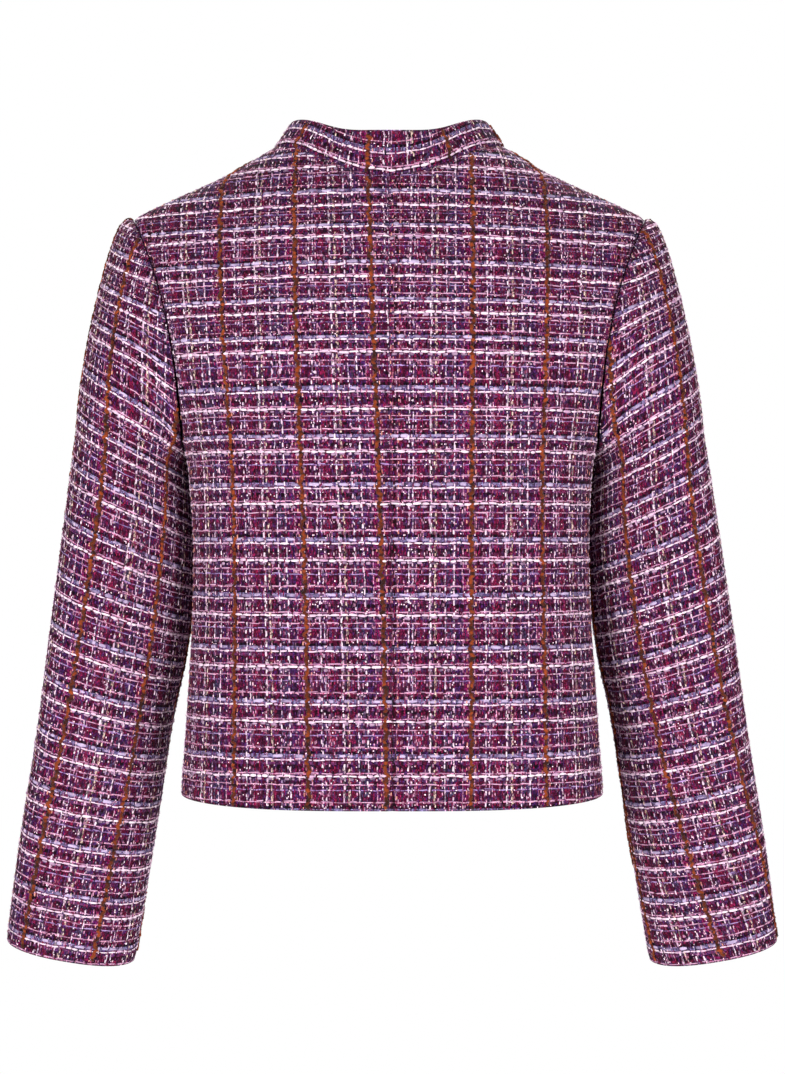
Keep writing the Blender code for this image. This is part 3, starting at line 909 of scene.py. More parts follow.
@dataclass
class TweedCloth:
    """The cloth's finish: wool and cotton threads woven loosely, matt and a little fuzzy.

    Shade is painted on the threads where they dip under and, in the charts, beside the thick yarns.
    Sizes of patterns are in millimetres of cloth, or in threads.
    """

    name: str = "boucle_tweed"
    roughness: float = 0.92
    specular: float = 0.1
    sheen: float = 0.02
    sheen_roughness: float = 0.5
    wobble: float = 1.9
    wobble_size: float = 9.0
    wobble_detail: float = 3.5
    wobble_roughness: float = 0.65
    float_picks: float = 2.6
    float_shift: float = 9.0
    warp_hold: float = 0.3
    speck: str = "#F6DCE8"
    speck_share: float = 0.015
    float_roundness: float = 0.4
    dip_roundness: float = 0.25
    fibres_per_mm: float = 1.6
    fibre_detail: float = 3.0
    # Painted shade: thread colour scales from the first value at the crown down to the second where it dips
    # under
    painted_crown_light: float = 1.15
    painted_dip_shade: float = 0.02
    thread_tone: float = 0.12
    thread_contrast: float = 0.75
    richness: float = 1.28
    gain: float = 1.14
    relief: float = 0.0005
    relief_strength: float = 0.7
    material: bpy.types.Material | None = None

    def chart_ramp(self, node: bpy.types.Node, chart: tuple[Stripe, ...], repeat: float) -> None:
        """Writes a chart's stripes into a colour ramp, with their weights as alpha.

        Args:
            node: The colour ramp.
            chart: Stripes in order of their start.
            repeat: Length of the repeat in millimetres.
        """
        ramp = node.color_ramp
        ramp.interpolation = "CONSTANT"
        while len(ramp.elements) < len(chart):
            ramp.elements.new(1.0)
        for element, stripe in zip(ramp.elements, chart):
            element.position = stripe.start / repeat
            element.color = (*linear(stripe.colour)[:3], stripe.weight)

    def thread_steps(self) -> list[Step]:
        """Finds the end, the pick and the float at each place of the cloth.

        Returns:
            The nodes in order.
        """
        half = 0.5 * self.wobble
        reach = (self.wobble, self.wobble, 0.0)
        to_mm = (1.0 / MM, 1.0 / MM, 0.0)
        pitch = (WARP_REPEAT / MM / WARP_THREADS, WEFT_REPEAT / MM / WEFT_PICKS, 1.0)
        wobble = {
            "Vector": "place",
            "Scale": 1.0 / self.wobble_size,
            "Detail": self.wobble_detail,
            "Roughness": self.wobble_roughness,
        }
        return [
            Step("grain", "UVMap", "grain"),
            Step("place", "VectorMath", "MULTIPLY_ADD", {0: "grain", 1: to_mm, 2: (-half, -half, 0.0)}),
            Step("drift", "TexNoise", "2D", wobble),
            Step("bent", "VectorMath", "MULTIPLY_ADD", {0: "drift:Color", 1: reach, 2: "place"}),
            Step("threads", "VectorMath", "DIVIDE", {0: "bent", 1: pitch}),
            Step("cell", "VectorMath", "FLOOR", {0: "threads"}),
            Step("inside", "VectorMath", "FRACTION", {0: "threads"}),
            Step("number", "SeparateXYZ", "", {0: "cell"}),
            Step("within", "SeparateXYZ", "", {0: "inside"}),
            Step("shift", "TexWhiteNoise", "1D", {"W": "number:X"}),
            Step("down", "SeparateXYZ", "", {0: "threads"}),
            Step("paced", "Math", "MULTIPLY", {0: "down:Y", 1: 1.0 / self.float_picks}),
            Step("stretch", "Math", "MULTIPLY_ADD", {0: "shift:Value", 1: self.float_shift, 2: "paced"}),
            Step("float", "Math", "FLOOR", {0: "stretch"}),
            Step("along", "Math", "FRACT", {0: "stretch"}),
            Step("spot", "CombineXYZ", "", {0: "number:X", 1: "float"}),
            Step("chance", "TexWhiteNoise", "2D", {"Vector": "spot"}),
            Step("crossing", "TexWhiteNoise", "2D", {"Vector": "cell"}),
        ]

    def colour_steps(self) -> list[Step]:
        """Reads the charts and picks the thread that lies on top.

        Returns:
            The nodes in order.
        """
        steps = []
        for name, axis, count in (("warp", "X", WARP_THREADS), ("weft", "Y", WEFT_PICKS)):
            middle = {0: f"number:{axis}", 1: 1.0 / count, 2: 0.5 / count}
            steps.append(Step(f"{name}_share", "Math", "MULTIPLY_ADD", middle))
            steps.append(Step(f"{name}_turn", "Math", "FRACT", {0: f"{name}_share"}))
            steps.append(Step(name, "ValToRGB", "", {0: f"{name}_turn"}))
        charted = {"Factor": "weft_shows", COLOUR_A: "warp:Color", COLOUR_B: "weft:Color"}
        woven = {"Factor": "picked:Blue", COLOUR_A: "charted:2", COLOUR_B: "fleck:Color"}
        specked = {"Factor": "speck", COLOUR_A: "woven:2", COLOUR_B: linear(self.speck)}
        return steps + [
            Step("hold", "Math", "ADD", {0: "warp:Alpha", 1: self.warp_hold}),
            Step("pull", "Math", "MULTIPLY", {0: "chance:Value", 1: "hold"}),
            Step("weft_shows", "Math", "LESS_THAN", {0: "pull", 1: "weft:Alpha"}),
            Step("charted", "Mix", "RGBA", charted),
            Step("picked", "SeparateColor", "", {0: "chance:Color"}),
            Step("fleck", "ValToRGB", "", {0: "picked:Green"}),
            Step("woven", "Mix", "RGBA", woven),
            Step("shades", "SeparateColor", "", {0: "crossing:Color"}),
            Step("speck", "Math", "GREATER_THAN", {0: "shades:Green", 1: 1.0 - self.speck_share}),
            Step("specked", "Mix", "RGBA", specked),
        ]

    def relief_and_painted_shade_steps(self) -> list[Step]:
        """Rounds each thread, paints shade on it where it dips under, and gives it fibres.

        Returns:
            The nodes in order.
        """
        steps = []
        for name, part in (("end_round", "within:X"), ("pick_round", "within:Y"), ("float_round", "along")):
            off = f"{name}_off"
            steps.append(Step(off, "Math", "SUBTRACT", {0: part, 1: 0.5}))
            steps.append(Step(f"{name}_square", "Math", "MULTIPLY", {0: off, 1: off}))
            steps.append(Step(name, "Math", "MULTIPLY_ADD", {0: f"{name}_square", 1: -4.0, 2: 1.0}))
        crown = {"Factor": "weft_shows", VALUE_A: "warp_crown", VALUE_B: "weft_crown"}
        fibres = {"Vector": "place", "Scale": self.fibres_per_mm, "Detail": self.fibre_detail}
        tone = {0: "crossing:Value", 1: self.thread_contrast, 2: self.thread_tone}
        relief = {"Strength": self.relief_strength, "Distance": self.relief, "Height": "height"}
        return steps + [
            Step("ends", "Math", "POWER", {0: "float_round", 1: self.float_roundness}),
            Step("warp_crown", "Math", "MULTIPLY", {0: "end_round", 1: "ends"}),
            Step("dips", "Math", "POWER", {0: "end_round", 1: self.dip_roundness}),
            Step("weft_crown", "Math", "MULTIPLY", {0: "pick_round", 1: "dips"}),
            Step("crown", "Mix", "FLOAT", crown),
            Step("fibre", "TexNoise", "2D", fibres),
            # Painted shade: each thread's colour darkens from its crown to where it dips under
            Step("light", "Math", "MULTIPLY_ADD", {0: "crown", 1: self.painted_crown_light, 2: self.painted_dip_shade}),
            Step("tone", "Math", "MULTIPLY_ADD", tone),
            Step("uneven", "Math", "ADD", {0: "fibre", 1: "tone"}),
            Step("lit", "Math", "MULTIPLY", {0: "light", 1: "uneven"}),
            Step("colour", "VectorMath", "SCALE", {0: "specked:2", "Scale": "lit"}),
            Step("rich", "Gamma", "", {"Color": "colour", "Gamma": self.richness}),
            Step("dyed", "VectorMath", "SCALE", {0: "rich", "Scale": self.gain}),
            Step("height", "Math", "ADD", {0: "crown", 1: "fibre"}),
            Step("bump", "Bump", "", relief),
        ]

    def build(self) -> bpy.types.Material:
        """Makes the woven finish on the grain map.

        Returns:
            The material, the same one at each call.
        """
        if self.material:
            return self.material
        # Loosely woven tweed: each thread is a soft round stroke, with shade painted where it dips under
        sockets = {
            "Base Color": "dyed",
            "Normal": "bump",
            "Roughness": self.roughness,
            "Specular IOR Level": self.specular,
            "Sheen Weight": self.sheen,
            "Sheen Roughness": self.sheen_roughness,
        }
        recipe = self.thread_steps() + self.colour_steps() + self.relief_and_painted_shade_steps()
        self.material, made = make_material(self.name, recipe, sockets)
        self.chart_ramp(made["warp"], WARP_CHART, WARP_REPEAT / MM)
        self.chart_ramp(made["weft"], WEFT_CHART, WEFT_REPEAT / MM)
        self.chart_ramp(made["fleck"], FLECKS, 1.0)
        return self.material


@dataclass
class YarnFinish:
    """Spun yarn: matt, soft at the edges, and uneven in tone from one float to the next."""

    name: str
    dark: str
    light: str
    roughness: float = 0.85
    specular: float = 0.2
    sheen: float = 0.1
    fibre_size: float = 0.8
    fibre_detail: float = 2.0
    streaks: float = 0.9
    relief: float = 0.0002
    relief_strength: float = 0.5
    material: bpy.types.Material | None = None

    def build(self) -> bpy.types.Material:
        """Makes the yarn's finish from the tone stored on its floats.

        Returns:
            The material, the same one at each call.
        """
        if self.material:
            return self.material
        # Spun wool and cotton: fine fibres break up the surface and soften its highlights
        fibres = {
            "Vector": "where:Object",
            "Scale": 1.0 / (self.fibre_size * MM),
            "Detail": self.fibre_detail,
        }
        relief = {"Strength": self.relief_strength, "Distance": self.relief, "Height": "fibre"}
        recipe = [
            Step("where", "TexCoord"),
            Step("fibre", "TexNoise", "", fibres),
            Step("tone", "Attribute", "tone"),
            Step("streak", "Math", "MULTIPLY_ADD", {0: "fibre", 1: self.streaks, 2: -0.5 * self.streaks}),
            Step("shade", "Math", "ADD", {0: "tone:Fac", 1: "streak"}),
            Step("dyed", "ValToRGB", "", {0: "shade"}),
            Step("bump", "Bump", "", relief),
        ]
        sockets = {
            "Base Color": "dyed",
            "Normal": "bump",
            "Roughness": self.roughness,
            "Specular IOR Level": self.specular,
            "Sheen Weight": self.sheen,
        }
        self.material, made = make_material(self.name, recipe, sockets)
        for element, colour in zip(made["dyed"].color_ramp.elements, (self.dark, self.light)):
            element.color = linear(colour)
        return self.material


CLOTH_FINISH = TweedCloth()
YARN_FINISHES = {
    "white": YarnFinish("white_cotton_yarn", "#C490B8", "#FFE6F4"),
    "cream": YarnFinish("cream_cotton_yarn", "#986C62", "#FFE6D4"),
    "blush": YarnFinish("blush_cotton_yarn", "#86345C", "#FAC8DC"),
    "coral": YarnFinish("coral_cotton_yarn", "#902434", "#F0A896"),
    "pink": YarnFinish("pink_cotton_yarn", "#763468", "#ECB6D8"),
    "lilac": YarnFinish("lilac_cotton_yarn", "#563A7A", "#C4A4DC"),
    "smoke": YarnFinish("grey_lilac_slub_yarn", "#4A3662", "#CAB4D8", fibre_size=1.7),
    "puff": YarnFinish("rosy_grey_boucle_yarn", "#4E3050", "#BE9AB8", fibre_size=1.7),
    "rust": YarnFinish("rust_wool_yarn", "#421008", "#9A421A"),
    "bark": YarnFinish("brown_wool_yarn", "#260A08", "#66280F"),
}


@dataclass
class YarnHeap:
    """Tubes of yarn gathered into one mesh."""

    slots: list[str] = field(default_factory=list)
    vertices: list[np.ndarray] = field(default_factory=list)
    quads: list[np.ndarray] = field(default_factory=list)
    triangles: list[np.ndarray] = field(default_factory=list)
    tones: list[np.ndarray] = field(default_factory=list)
    quad_slots: list[np.ndarray] = field(default_factory=list)
    triangle_slots: list[np.ndarray] = field(default_factory=list)
    count: int = 0

    def add_tubes(
        self,
        centres: np.ndarray,
        normals: np.ndarray,
        half_widths: np.ndarray,
        half_heights: np.ndarray,
        sides: int,
        tones: np.ndarray,
        finish: str,
    ) -> None:
        """Adds tubes that run through rows of centres and close in a point at both ends.

        Args:
            centres: Tubes by stations of points.
            normals: The cloth's normal at each centre.
            half_widths: Half of each station's width along the cloth.
            half_heights: Half of each station's height off the cloth.
            sides: Number of sides.
            tones: Tone of each station, from 0 to 1.
            finish: Name of the yarn's finish.
        """
        tubes, stations = centres.shape[:2]
        forward = unit(np.gradient(centres, axis=1))
        sideways = unit(np.cross(forward, normals))
        turn = np.linspace(0.0, 2.0 * np.pi, sides, endpoint=False)
        rings = (
            centres[:, 1:-1, None]
            + sideways[:, 1:-1, None] * (half_widths[:, 1:-1, None] * np.cos(turn))[..., None]
            + normals[:, 1:-1, None] * (half_heights[:, 1:-1, None] * np.sin(turn))[..., None]
        )
        body = rings.reshape(tubes, -1, 3)
        vertices = np.concatenate([centres[:, :1], body, centres[:, -1:]], axis=1)
        per_tube = vertices.shape[1]
        ring_tones = np.repeat(tones[:, 1:-1], sides, axis=1)
        tone = np.concatenate([tones[:, :1], ring_tones, tones[:, -1:]], axis=1)

        ring = 1 + np.arange((stations - 2) * sides).reshape(stations - 2, sides)
        beside = np.roll(ring, -1, axis=1)
        quads = np.stack([ring[:-1], ring[1:], beside[1:], beside[:-1]], axis=-1).reshape(-1, 4)
        first = np.stack([np.zeros_like(ring[0]), ring[0], beside[0]], axis=-1)
        last = np.stack([np.full_like(ring[0], per_tube - 1), beside[-1], ring[-1]], axis=-1)
        triangles = np.concatenate([first, last])
        offsets = self.count + per_tube * np.arange(tubes)[:, None, None]
        if finish not in self.slots:
            self.slots.append(finish)
        slot = self.slots.index(finish)
        self.vertices.append(vertices.reshape(-1, 3))
        self.tones.append(tone.ravel())
        self.quads.append((quads + offsets).reshape(-1, 4))
        self.triangles.append((triangles + offsets).reshape(-1, 3))
        self.quad_slots.append(np.full(tubes * len(quads), slot))
        self.triangle_slots.append(np.full(tubes * len(triangles), slot))
        self.count += tubes * per_tube

    def mesh_object(self, name: str) -> bpy.types.Object:
        """Makes one object of all the tubes.

        Args:
            name: Name of the object.

        Returns:
            The object, with a finish for each kind of yarn.
        """
        quads, triangles = np.concatenate(self.quads), np.concatenate(self.triangles)
        corners = np.concatenate([quads.ravel(), triangles.ravel()])
        sizes = np.concatenate([np.full(len(quads), 4), np.full(len(triangles), 3)])
        mesh = mesh_from_faces(name, np.concatenate(self.vertices), corners, sizes)
        slots = np.concatenate(self.quad_slots + self.triangle_slots)
        mesh.polygons.foreach_set("material_index", slots.astype(np.int32))
        tone = mesh.attributes.new("tone", "FLOAT", "POINT")
        tone.data.foreach_set("value", np.concatenate(self.tones).astype(np.float32))
        for finish in self.slots:
            mesh.materials.append(YARN_FINISHES[finish].build())
        return link_object(name, mesh)


def mesh_from_faces(
    name: str, vertices: np.ndarray, corners: np.ndarray, sizes: np.ndarray
) -> bpy.types.Mesh:
    """A smooth mesh from flat lists of corners.

    Args:
        name: Name of the mesh.
        vertices: Points, one per row.
        corners: Vertex numbers of all faces, one face after another.
        sizes: Number of corners of each face.

    Returns:
        The mesh.
    """
    mesh = bpy.data.meshes.new(name)
    mesh.vertices.add(len(vertices))
    mesh.vertices.foreach_set("co", vertices.astype(np.float32).ravel())
    mesh.loops.add(len(corners))
    mesh.loops.foreach_set("vertex_index", corners.astype(np.int32))
    mesh.polygons.add(len(sizes))
    starts = np.concatenate([[0], np.cumsum(sizes)[:-1]])
    mesh.polygons.foreach_set("loop_start", starts.astype(np.int32))
    mesh.update(calc_edges=True)
    mesh.shade_smooth()
    return mesh


def link_object(name: str, mesh: bpy.types.Mesh) -> bpy.types.Object:
    """Puts a mesh into the scene as an object at the origin.

    Args:
        name: Name of the object.
        mesh: Its mesh.

    Returns:
        The object.
    """
    piece = bpy.data.objects.new(name, mesh)
    bpy.context.scene.collection.objects.link(piece)
    return piece


@dataclass(frozen=True)
class EdgeFinish:
    """How an edge of a piece is drawn in: how deep, how wide, and how far its rim rounds out."""

    dip: float
    width: float
    bulge: float


SEAM = EdgeFinish(0.0013, 0.0028, 0.0)
HEM = EdgeFinish(0.0004, 0.0026, 0.0006)
OPENING = EdgeFinish(0.0026, 0.0042, 0.0003)


def lie_along(
    line: np.ndarray, normals: np.ndarray, at: np.ndarray
) -> tuple[np.ndarray, np.ndarray, np.ndarray]:
    """Where floats lie on a line of the cloth.

    Args:
        line: The line's points.
        normals: The cloth's normals there.
        at: Lengths along the line, floats by stations.

    Returns:
        Points, normals and sideways directions, floats by stations.
    """
    length = lengths_along(line, 0)
    centres, facing = (
        np.stack([np.interp(at, length, part[:, k]) for k in range(3)], axis=-1) for part in (line, normals)
    )
    facing = unit(facing)
    return centres, facing, unit(np.cross(np.gradient(centres, axis=1), facing))


def wandering(at: np.ndarray, sizes: tuple[float, float], rng: np.random.Generator) -> np.ndarray:
    """Two slow waves along a yarn.

    Args:
        at: Lengths along the yarn.
        sizes: Sizes of the waves in millimetres.
        rng: Source of their starts.

    Returns:
        Their sum, from -2 to 2.
    """
    starts = rng.uniform(0.0, 2.0 * np.pi, 2)
    return sum(np.sin(at / (size * MM) + start) for size, start in zip(sizes, starts))


@dataclass
class ClothPiece:
    """One cut piece of the jacket: its shell of cloth and the yarns that lie on it."""

    name: str
    seed: int
    hang: str = "hung"
    link_pitch: float = 2.1
    link_length: float = 4.2
    link_width: float = 2.8
    link_sway: float = 1.5
    link_lift: float = 0.40
    chain_wander: float = 0.65
    skipped_chains: tuple[int, ...] = ()
    skipped_yarns: tuple[str, ...] = ()
    grid: ClothGrid | None = None
    shell: bpy.types.Object | None = None
    yarns: list[bpy.types.Object] = field(default_factory=list)

    def lay_out(self) -> ClothGrid:
        """Works out the piece's points and grain."""
        raise NotImplementedError

    def edges(self) -> tuple[EdgeFinish, EdgeFinish, EdgeFinish, EdgeFinish]:
        """The finish of the first row, last row, first column and last column."""
        raise NotImplementedError

    def sink_seams(self, points: np.ndarray, normals: np.ndarray) -> np.ndarray:
        """Points with the cloth drawn in along its edges, as seams and turned hems pull it.

        Args:
            points: The piece's grid.
            normals: Its normals.

        Returns:
            The moved points.
        """
        down, across = lengths_along(points, 0), lengths_along(points, 1)
        distances = (down, down[-1] - down, across, across[:, -1:] - across)
        height = np.zeros(points.shape[:2])
        for edge, distance in zip(self.edges(), distances):
            height -= edge.dip * np.exp(-((distance / edge.width) ** 2))
        return points + normals * height[..., None]

    def build(self) -> None:
        """Makes the shell and the yarns of the piece."""
        self.grid = self.lay_out()
        self.shell = self.make_shell()
        for grain in Grain:
            heap = YarnHeap()
            rng = np.random.default_rng([self.seed, len(grain.value), ord(grain.value[2])])
            for yarn in YARNS:
                if yarn.grain is grain and yarn.name not in self.skipped_yarns:
                    self.lay_floats(heap, yarn, rng)
            if grain is Grain.WARP:
                self.lay_chains(heap, rng)
            self.yarns.append(heap.mesh_object(f"{self.name}_{grain.value}_yarns"))

    def make_shell(self) -> bpy.types.Object:
        """Makes the closed thin shell of cloth with its grain map.

        Returns:
            The shell's object.
        """
        grid = self.grid
        rows, columns = grid.points.shape[:2]
        solid = columns - 1 if grid.wraps else columns
        outer = grid.points[:, :solid]
        inner = outer - CLOTH_THICKNESS * grid.normals[:, :solid]
        count = rows * solid
        index = np.arange(count).reshape(rows, solid)
        if grid.wraps:
            index = np.concatenate([index, index[:, :1]], axis=1)
        uv = np.stack([grid.ends, grid.picks], axis=-1)

        out = np.zeros_like(outer)
        bulge = np.zeros((rows, solid))
        edges = [((0, slice(None)), (1, slice(None))), ((-1, slice(None)), (-2, slice(None)))]
        if not grid.wraps:
            edges += [((slice(None), 0), (slice(None), 1)), ((slice(None), -1), (slice(None), -2))]
        for finish, (edge, within) in zip(self.edges(), edges):
            out[edge] += unit(outer[edge] - outer[within])
            bulge[edge] = np.maximum(bulge[edge], finish.bulge)
        rim = 0.5 * (outer + inner) + unit(out) * bulge[..., None]

        if grid.wraps:
            rims = [[(0, c) for c in range(columns)], [(rows - 1, c) for c in range(columns)][::-1]]
        else:
            round_edge = [(0, c) for c in range(columns)]
            round_edge += [(r, columns - 1) for r in range(1, rows)]
            round_edge += [(rows - 1, c) for c in range(columns - 2, -1, -1)]
            round_edge += [(r, 0) for r in range(rows - 2, -1, -1)]
            rims = [round_edge]
        low, high = slice(None, -1), slice(1, None)
        ring = [(low, low), (low, high), (high, high), (high, low)]
        faces = [np.stack([index[at] for at in ring], axis=-1).reshape(-1, 4)]
        places = [np.stack([uv[at] for at in ring], axis=2).reshape(-1, 4, 2)]
        faces.append(faces[0][:, ::-1] + count)
        places.append(places[0][:, ::-1])
        for line in rims:
            row, column = np.array(line).T
            at, where = index[row, column], uv[row, column]
            layers = (at, at + 2 * count, at + count)
            for upper, lower in zip(layers[:-1], layers[1:]):
                faces.append(np.stack([upper[1:], upper[:-1], lower[:-1], lower[1:]], axis=-1))
                places.append(np.stack([where[1:], where[:-1], where[:-1], where[1:]], axis=1))
        quads, places = np.concatenate(faces), np.concatenate(places)
        around, along = outer[0, 1] - outer[0, 0], outer[1, 0] - outer[0, 0]
        if np.dot(np.cross(around, along), grid.normals[0, 0]) < 0:
            quads, places = quads[:, ::-1], places[:, ::-1]

        vertices = np.concatenate([part.reshape(-1, 3) for part in (outer, inner, rim)])
        used, numbers = np.unique(quads, return_inverse=True)
        mesh = mesh_from_faces(self.name, vertices[used], numbers.ravel(), np.full(len(quads), 4))
        layer = mesh.uv_layers.new(name="grain", do_init=False)
        layer.uv.foreach_set("vector", places.astype(np.float32).ravel())
        mesh.materials.append(CLOTH_FINISH.build())
        return link_object(f"{self.name}_cloth", mesh)

    def lay_floats(self, heap: YarnHeap, yarn: Yarn, rng: np.random.Generator) -> None:
        """Lays one kind of yarn over the piece as floats that dip under at both ends.

        Args:
            heap: Mesh that takes the floats.
            yarn: The yarn.
            rng: Source of the weave's unevenness.
        """
        repeat, values = WARP_REPEAT, self.grid.ends
        if yarn.grain is Grain.WEFT:
            repeat, values = WEFT_REPEAT, self.grid.picks
        profile = THICK_FLOAT if yarn.sides >= THICK_SIDES else FINE_FLOAT
        shares, swell, rise = np.array([profile.shares, profile.swell, profile.rise])
        first = math.floor((values.min() - yarn.place * MM) / repeat)
        for number in range(first, math.ceil(values.max() / repeat) + 1):
            place = number * repeat + yarn.place * MM
            crowded = 1.0
            if yarn.grain is Grain.WEFT and profile is FINE_FLOAT:
                crowded = min(WEFT_BEAT.stretch(place), 1.0) ** 2
            if rng.random() > yarn.share * crowded:
                continue
            for line, normals in self.grid.runs(yarn.grain, place):
                length = lengths_along(line, 0)[-1]
                most = int(length / (MM * (yarn.floats[0] + yarn.gaps[0]))) + 2
                floats = rng.uniform(*yarn.floats, most) * MM
                ends = np.cumsum(floats + rng.uniform(*yarn.gaps, most) * MM)
                ends = ends - rng.uniform(0.0, FIRST_CUT) * MM
                keep = (ends - floats > 0.0) & (ends < length)
                floats, ends = floats[keep], ends[keep]
                if not len(ends):
                    continue
                each = (len(ends), 1)
                at = (ends - floats)[:, None] + shares * floats[:, None]
                centres, facing, aside = lie_along(line, normals, at)
                plump = rng.uniform(*FLOAT_PLUMPNESS, each) * rng.uniform(*STATION_PLUMPNESS, at.shape)
                half_width = 0.5 * yarn.width * MM * plump * swell
                half_height = 0.5 * yarn.height * MM * plump * swell
                wander = FLOAT_WANDER * MM * wandering(at, FLOAT_WAVES, rng)
                stray = (wander + rng.normal(0.0, FLOAT_STRAY * MM, each))[..., None]
                lift = (yarn.lift * MM * rise)[None, :, None]
                centres = centres + facing * lift + aside * stray
                tones = rng.normal(*FLOAT_TONE, each) + rng.normal(0.0, STATION_TONE, at.shape)
                tones = np.clip(tones, 0.0, 1.0)
                heap.add_tubes(centres, facing, half_width, half_height, yarn.sides, tones, yarn.finish)

    def lay_chains(self, heap: YarnHeap, rng: np.random.Generator) -> None:
        """Lays the chain yarns, rows of slanting links of rust and brown wool.

        Args:
            heap: Mesh that takes the links.
            rng: Source of the weave's unevenness.
        """
        values = self.grid.ends
        first, last = math.floor(values.min() / WARP_REPEAT), math.ceil(values.max() / WARP_REPEAT)
        shares, swell, rise = np.array([CHAIN_LINK.shares, CHAIN_LINK.swell, CHAIN_LINK.rise])
        for number in range(first, last + 1):
            if number in self.skipped_chains:
                continue
            for line, normals in self.grid.runs(Grain.WARP, number * WARP_REPEAT):
                length = lengths_along(line, 0)[-1]
                most = int(length / (LINK_SPACING[0] * self.link_pitch * MM)) + 2
                middles = np.cumsum(rng.uniform(*LINK_SPACING, most)) * self.link_pitch * MM
                long = rng.uniform(*LINK_LENGTHS, most) * self.link_length * MM
                keep = middles < length - self.link_length * MM
                middles, long = middles[keep], long[keep]
                if not len(middles):
                    continue
                each = (len(middles), 1)
                at = np.maximum(middles[:, None] + long[:, None] * shares, 0.0)
                centres, facing, aside = lie_along(line, normals, at)
                wander = wandering(at, LINK_WAVES, rng)
                slant = np.where(np.arange(len(middles)) % 2, LINK_SLANT, -LINK_SLANT)[:, None] * shares
                sway = self.link_sway * slant * rng.uniform(*LINK_SWAYS, each)
                sway = (sway + self.chain_wander * wander) * MM
                lift = (self.link_lift * MM * rise)[None, :, None]
                centres = centres + facing * lift + aside * sway[..., None]
                half = 0.5 * self.link_width * MM * swell * rng.uniform(*LINK_WIDTHS, each)
                tones = np.repeat(rng.uniform(0.0, 1.0, each), len(shares), axis=1)
                bright = rng.random(len(middles)) < RUST_SHARE
                for finish, some in (("rust", bright), ("bark", ~bright)):
                    if some.any():
                        parts = [part[some] for part in (centres, facing, half, LINK_FLATNESS * half)]
                        heap.add_tubes(*parts, LINK_SIDES, tones[some], finish)

    def dress(self) -> None:
        width, length, area = self.grid.flat_size()
        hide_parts(self.name)
        for piece in (self.shell, *self.yarns):
            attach(piece, "root")
            LOG.info("%s: %d faces", piece.name, len(piece.data.polygons))
        LOG.info("%s: cut %.3f x %.3f m, %.4f m2", self.name, width, length, area)


@dataclass
class BodyPanel(ClothPiece):
    """Half of the back or one front, from the centre line to the side seam and armhole."""

    form: BodyForm | None = None
    side: Side = Side.LEFT
    open_centre: bool = False
    grain_sign: float = 1.0
    grain_at_hem: float = 0.0
    grain_drift: float = 0.0
    drift_power: float = 1.5
    side_roll: float = 0.0056
    side_roll_width: float = 0.010
    side_roll_spread: float = 0.015
    form_points: np.ndarray | None = None
    form_normals: np.ndarray | None = None

    def edges(self) -> tuple[EdgeFinish, EdgeFinish, EdgeFinish, EdgeFinish]:
        """The hem is turned up, and the centre edge of a front is turned in."""
        return HEM, SEAM, OPENING if self.open_centre else SEAM, SEAM

    def lay_out(self) -> ClothGrid:
        """Works out the panel's points, and its grain from the centre line and the underarm.

        Returns:
            The panel's grid.
        """
        form = self.form
        points = form.grid()
        normals = grid_normals(points, wraps=False) * -form.facing
        normals[:, 0, 0] = 0.0
        normals[: form.low_rows + 1, -1, 1] = 0.0
        normals[-1, form.neck_columns :, 1] = 0.0
        normals = unit(normals)
        up = form.heights_along_grain(points, lengths_along(points, 1))
        step = np.linalg.norm(np.diff(points, axis=1), axis=-1) ** 2 - np.diff(up, axis=1) ** 2
        across = np.cumsum(np.sqrt(np.maximum(step, 0.0)), axis=1)
        across = np.concatenate([np.zeros((len(points), 1)), across], axis=1)
        rise = np.clip((points[:, :1, 2] - points[0, 0, 2]) / np.ptp(points[:, 0, 2]), 0.0, 1.0)
        u = self.grain_sign * (across - self.grain_at_hem - self.grain_drift * rise**self.drift_power)
        v = WEFT_AT_UNDERARM - up

        mirror = np.array([self.side.value, 1.0, 1.0])
        points = (points + normals * fold_heights(self.name, points, False)[..., None]) * mirror
        normals = normals * mirror
        self.form_points, self.form_normals = points, normals
        points = self.sink_seams(self.roll_sides(points, normals), normals)
        return ClothGrid(swayed(points), normals, u, v, u, WEFT_BEAT.places(v))

    def roll_sides(self, points: np.ndarray, normals: np.ndarray) -> np.ndarray:
        """Points with the cloth rolled in along the side seam, where the sleeve hangs beside it.

        Args:
            points: The panel's grid.
            normals: Its normals.

        Returns:
            The moved points.
        """
        across = lengths_along(points, 1)
        from_side = across[:, -1:] - across
        share = (UNDERARM_HEIGHT - points[:, -1:, 2]) / (UNDERARM_HEIGHT - HEM_SIDE_HEIGHT)
        share = np.clip(share, 0.0, 1.0)
        width = self.side_roll_width + self.side_roll_spread * share**2
        depth = self.side_roll * np.sin(np.pi * share) ** 2
        return points - normals * (depth * np.exp(-((from_side / width) ** 2)))[..., None]


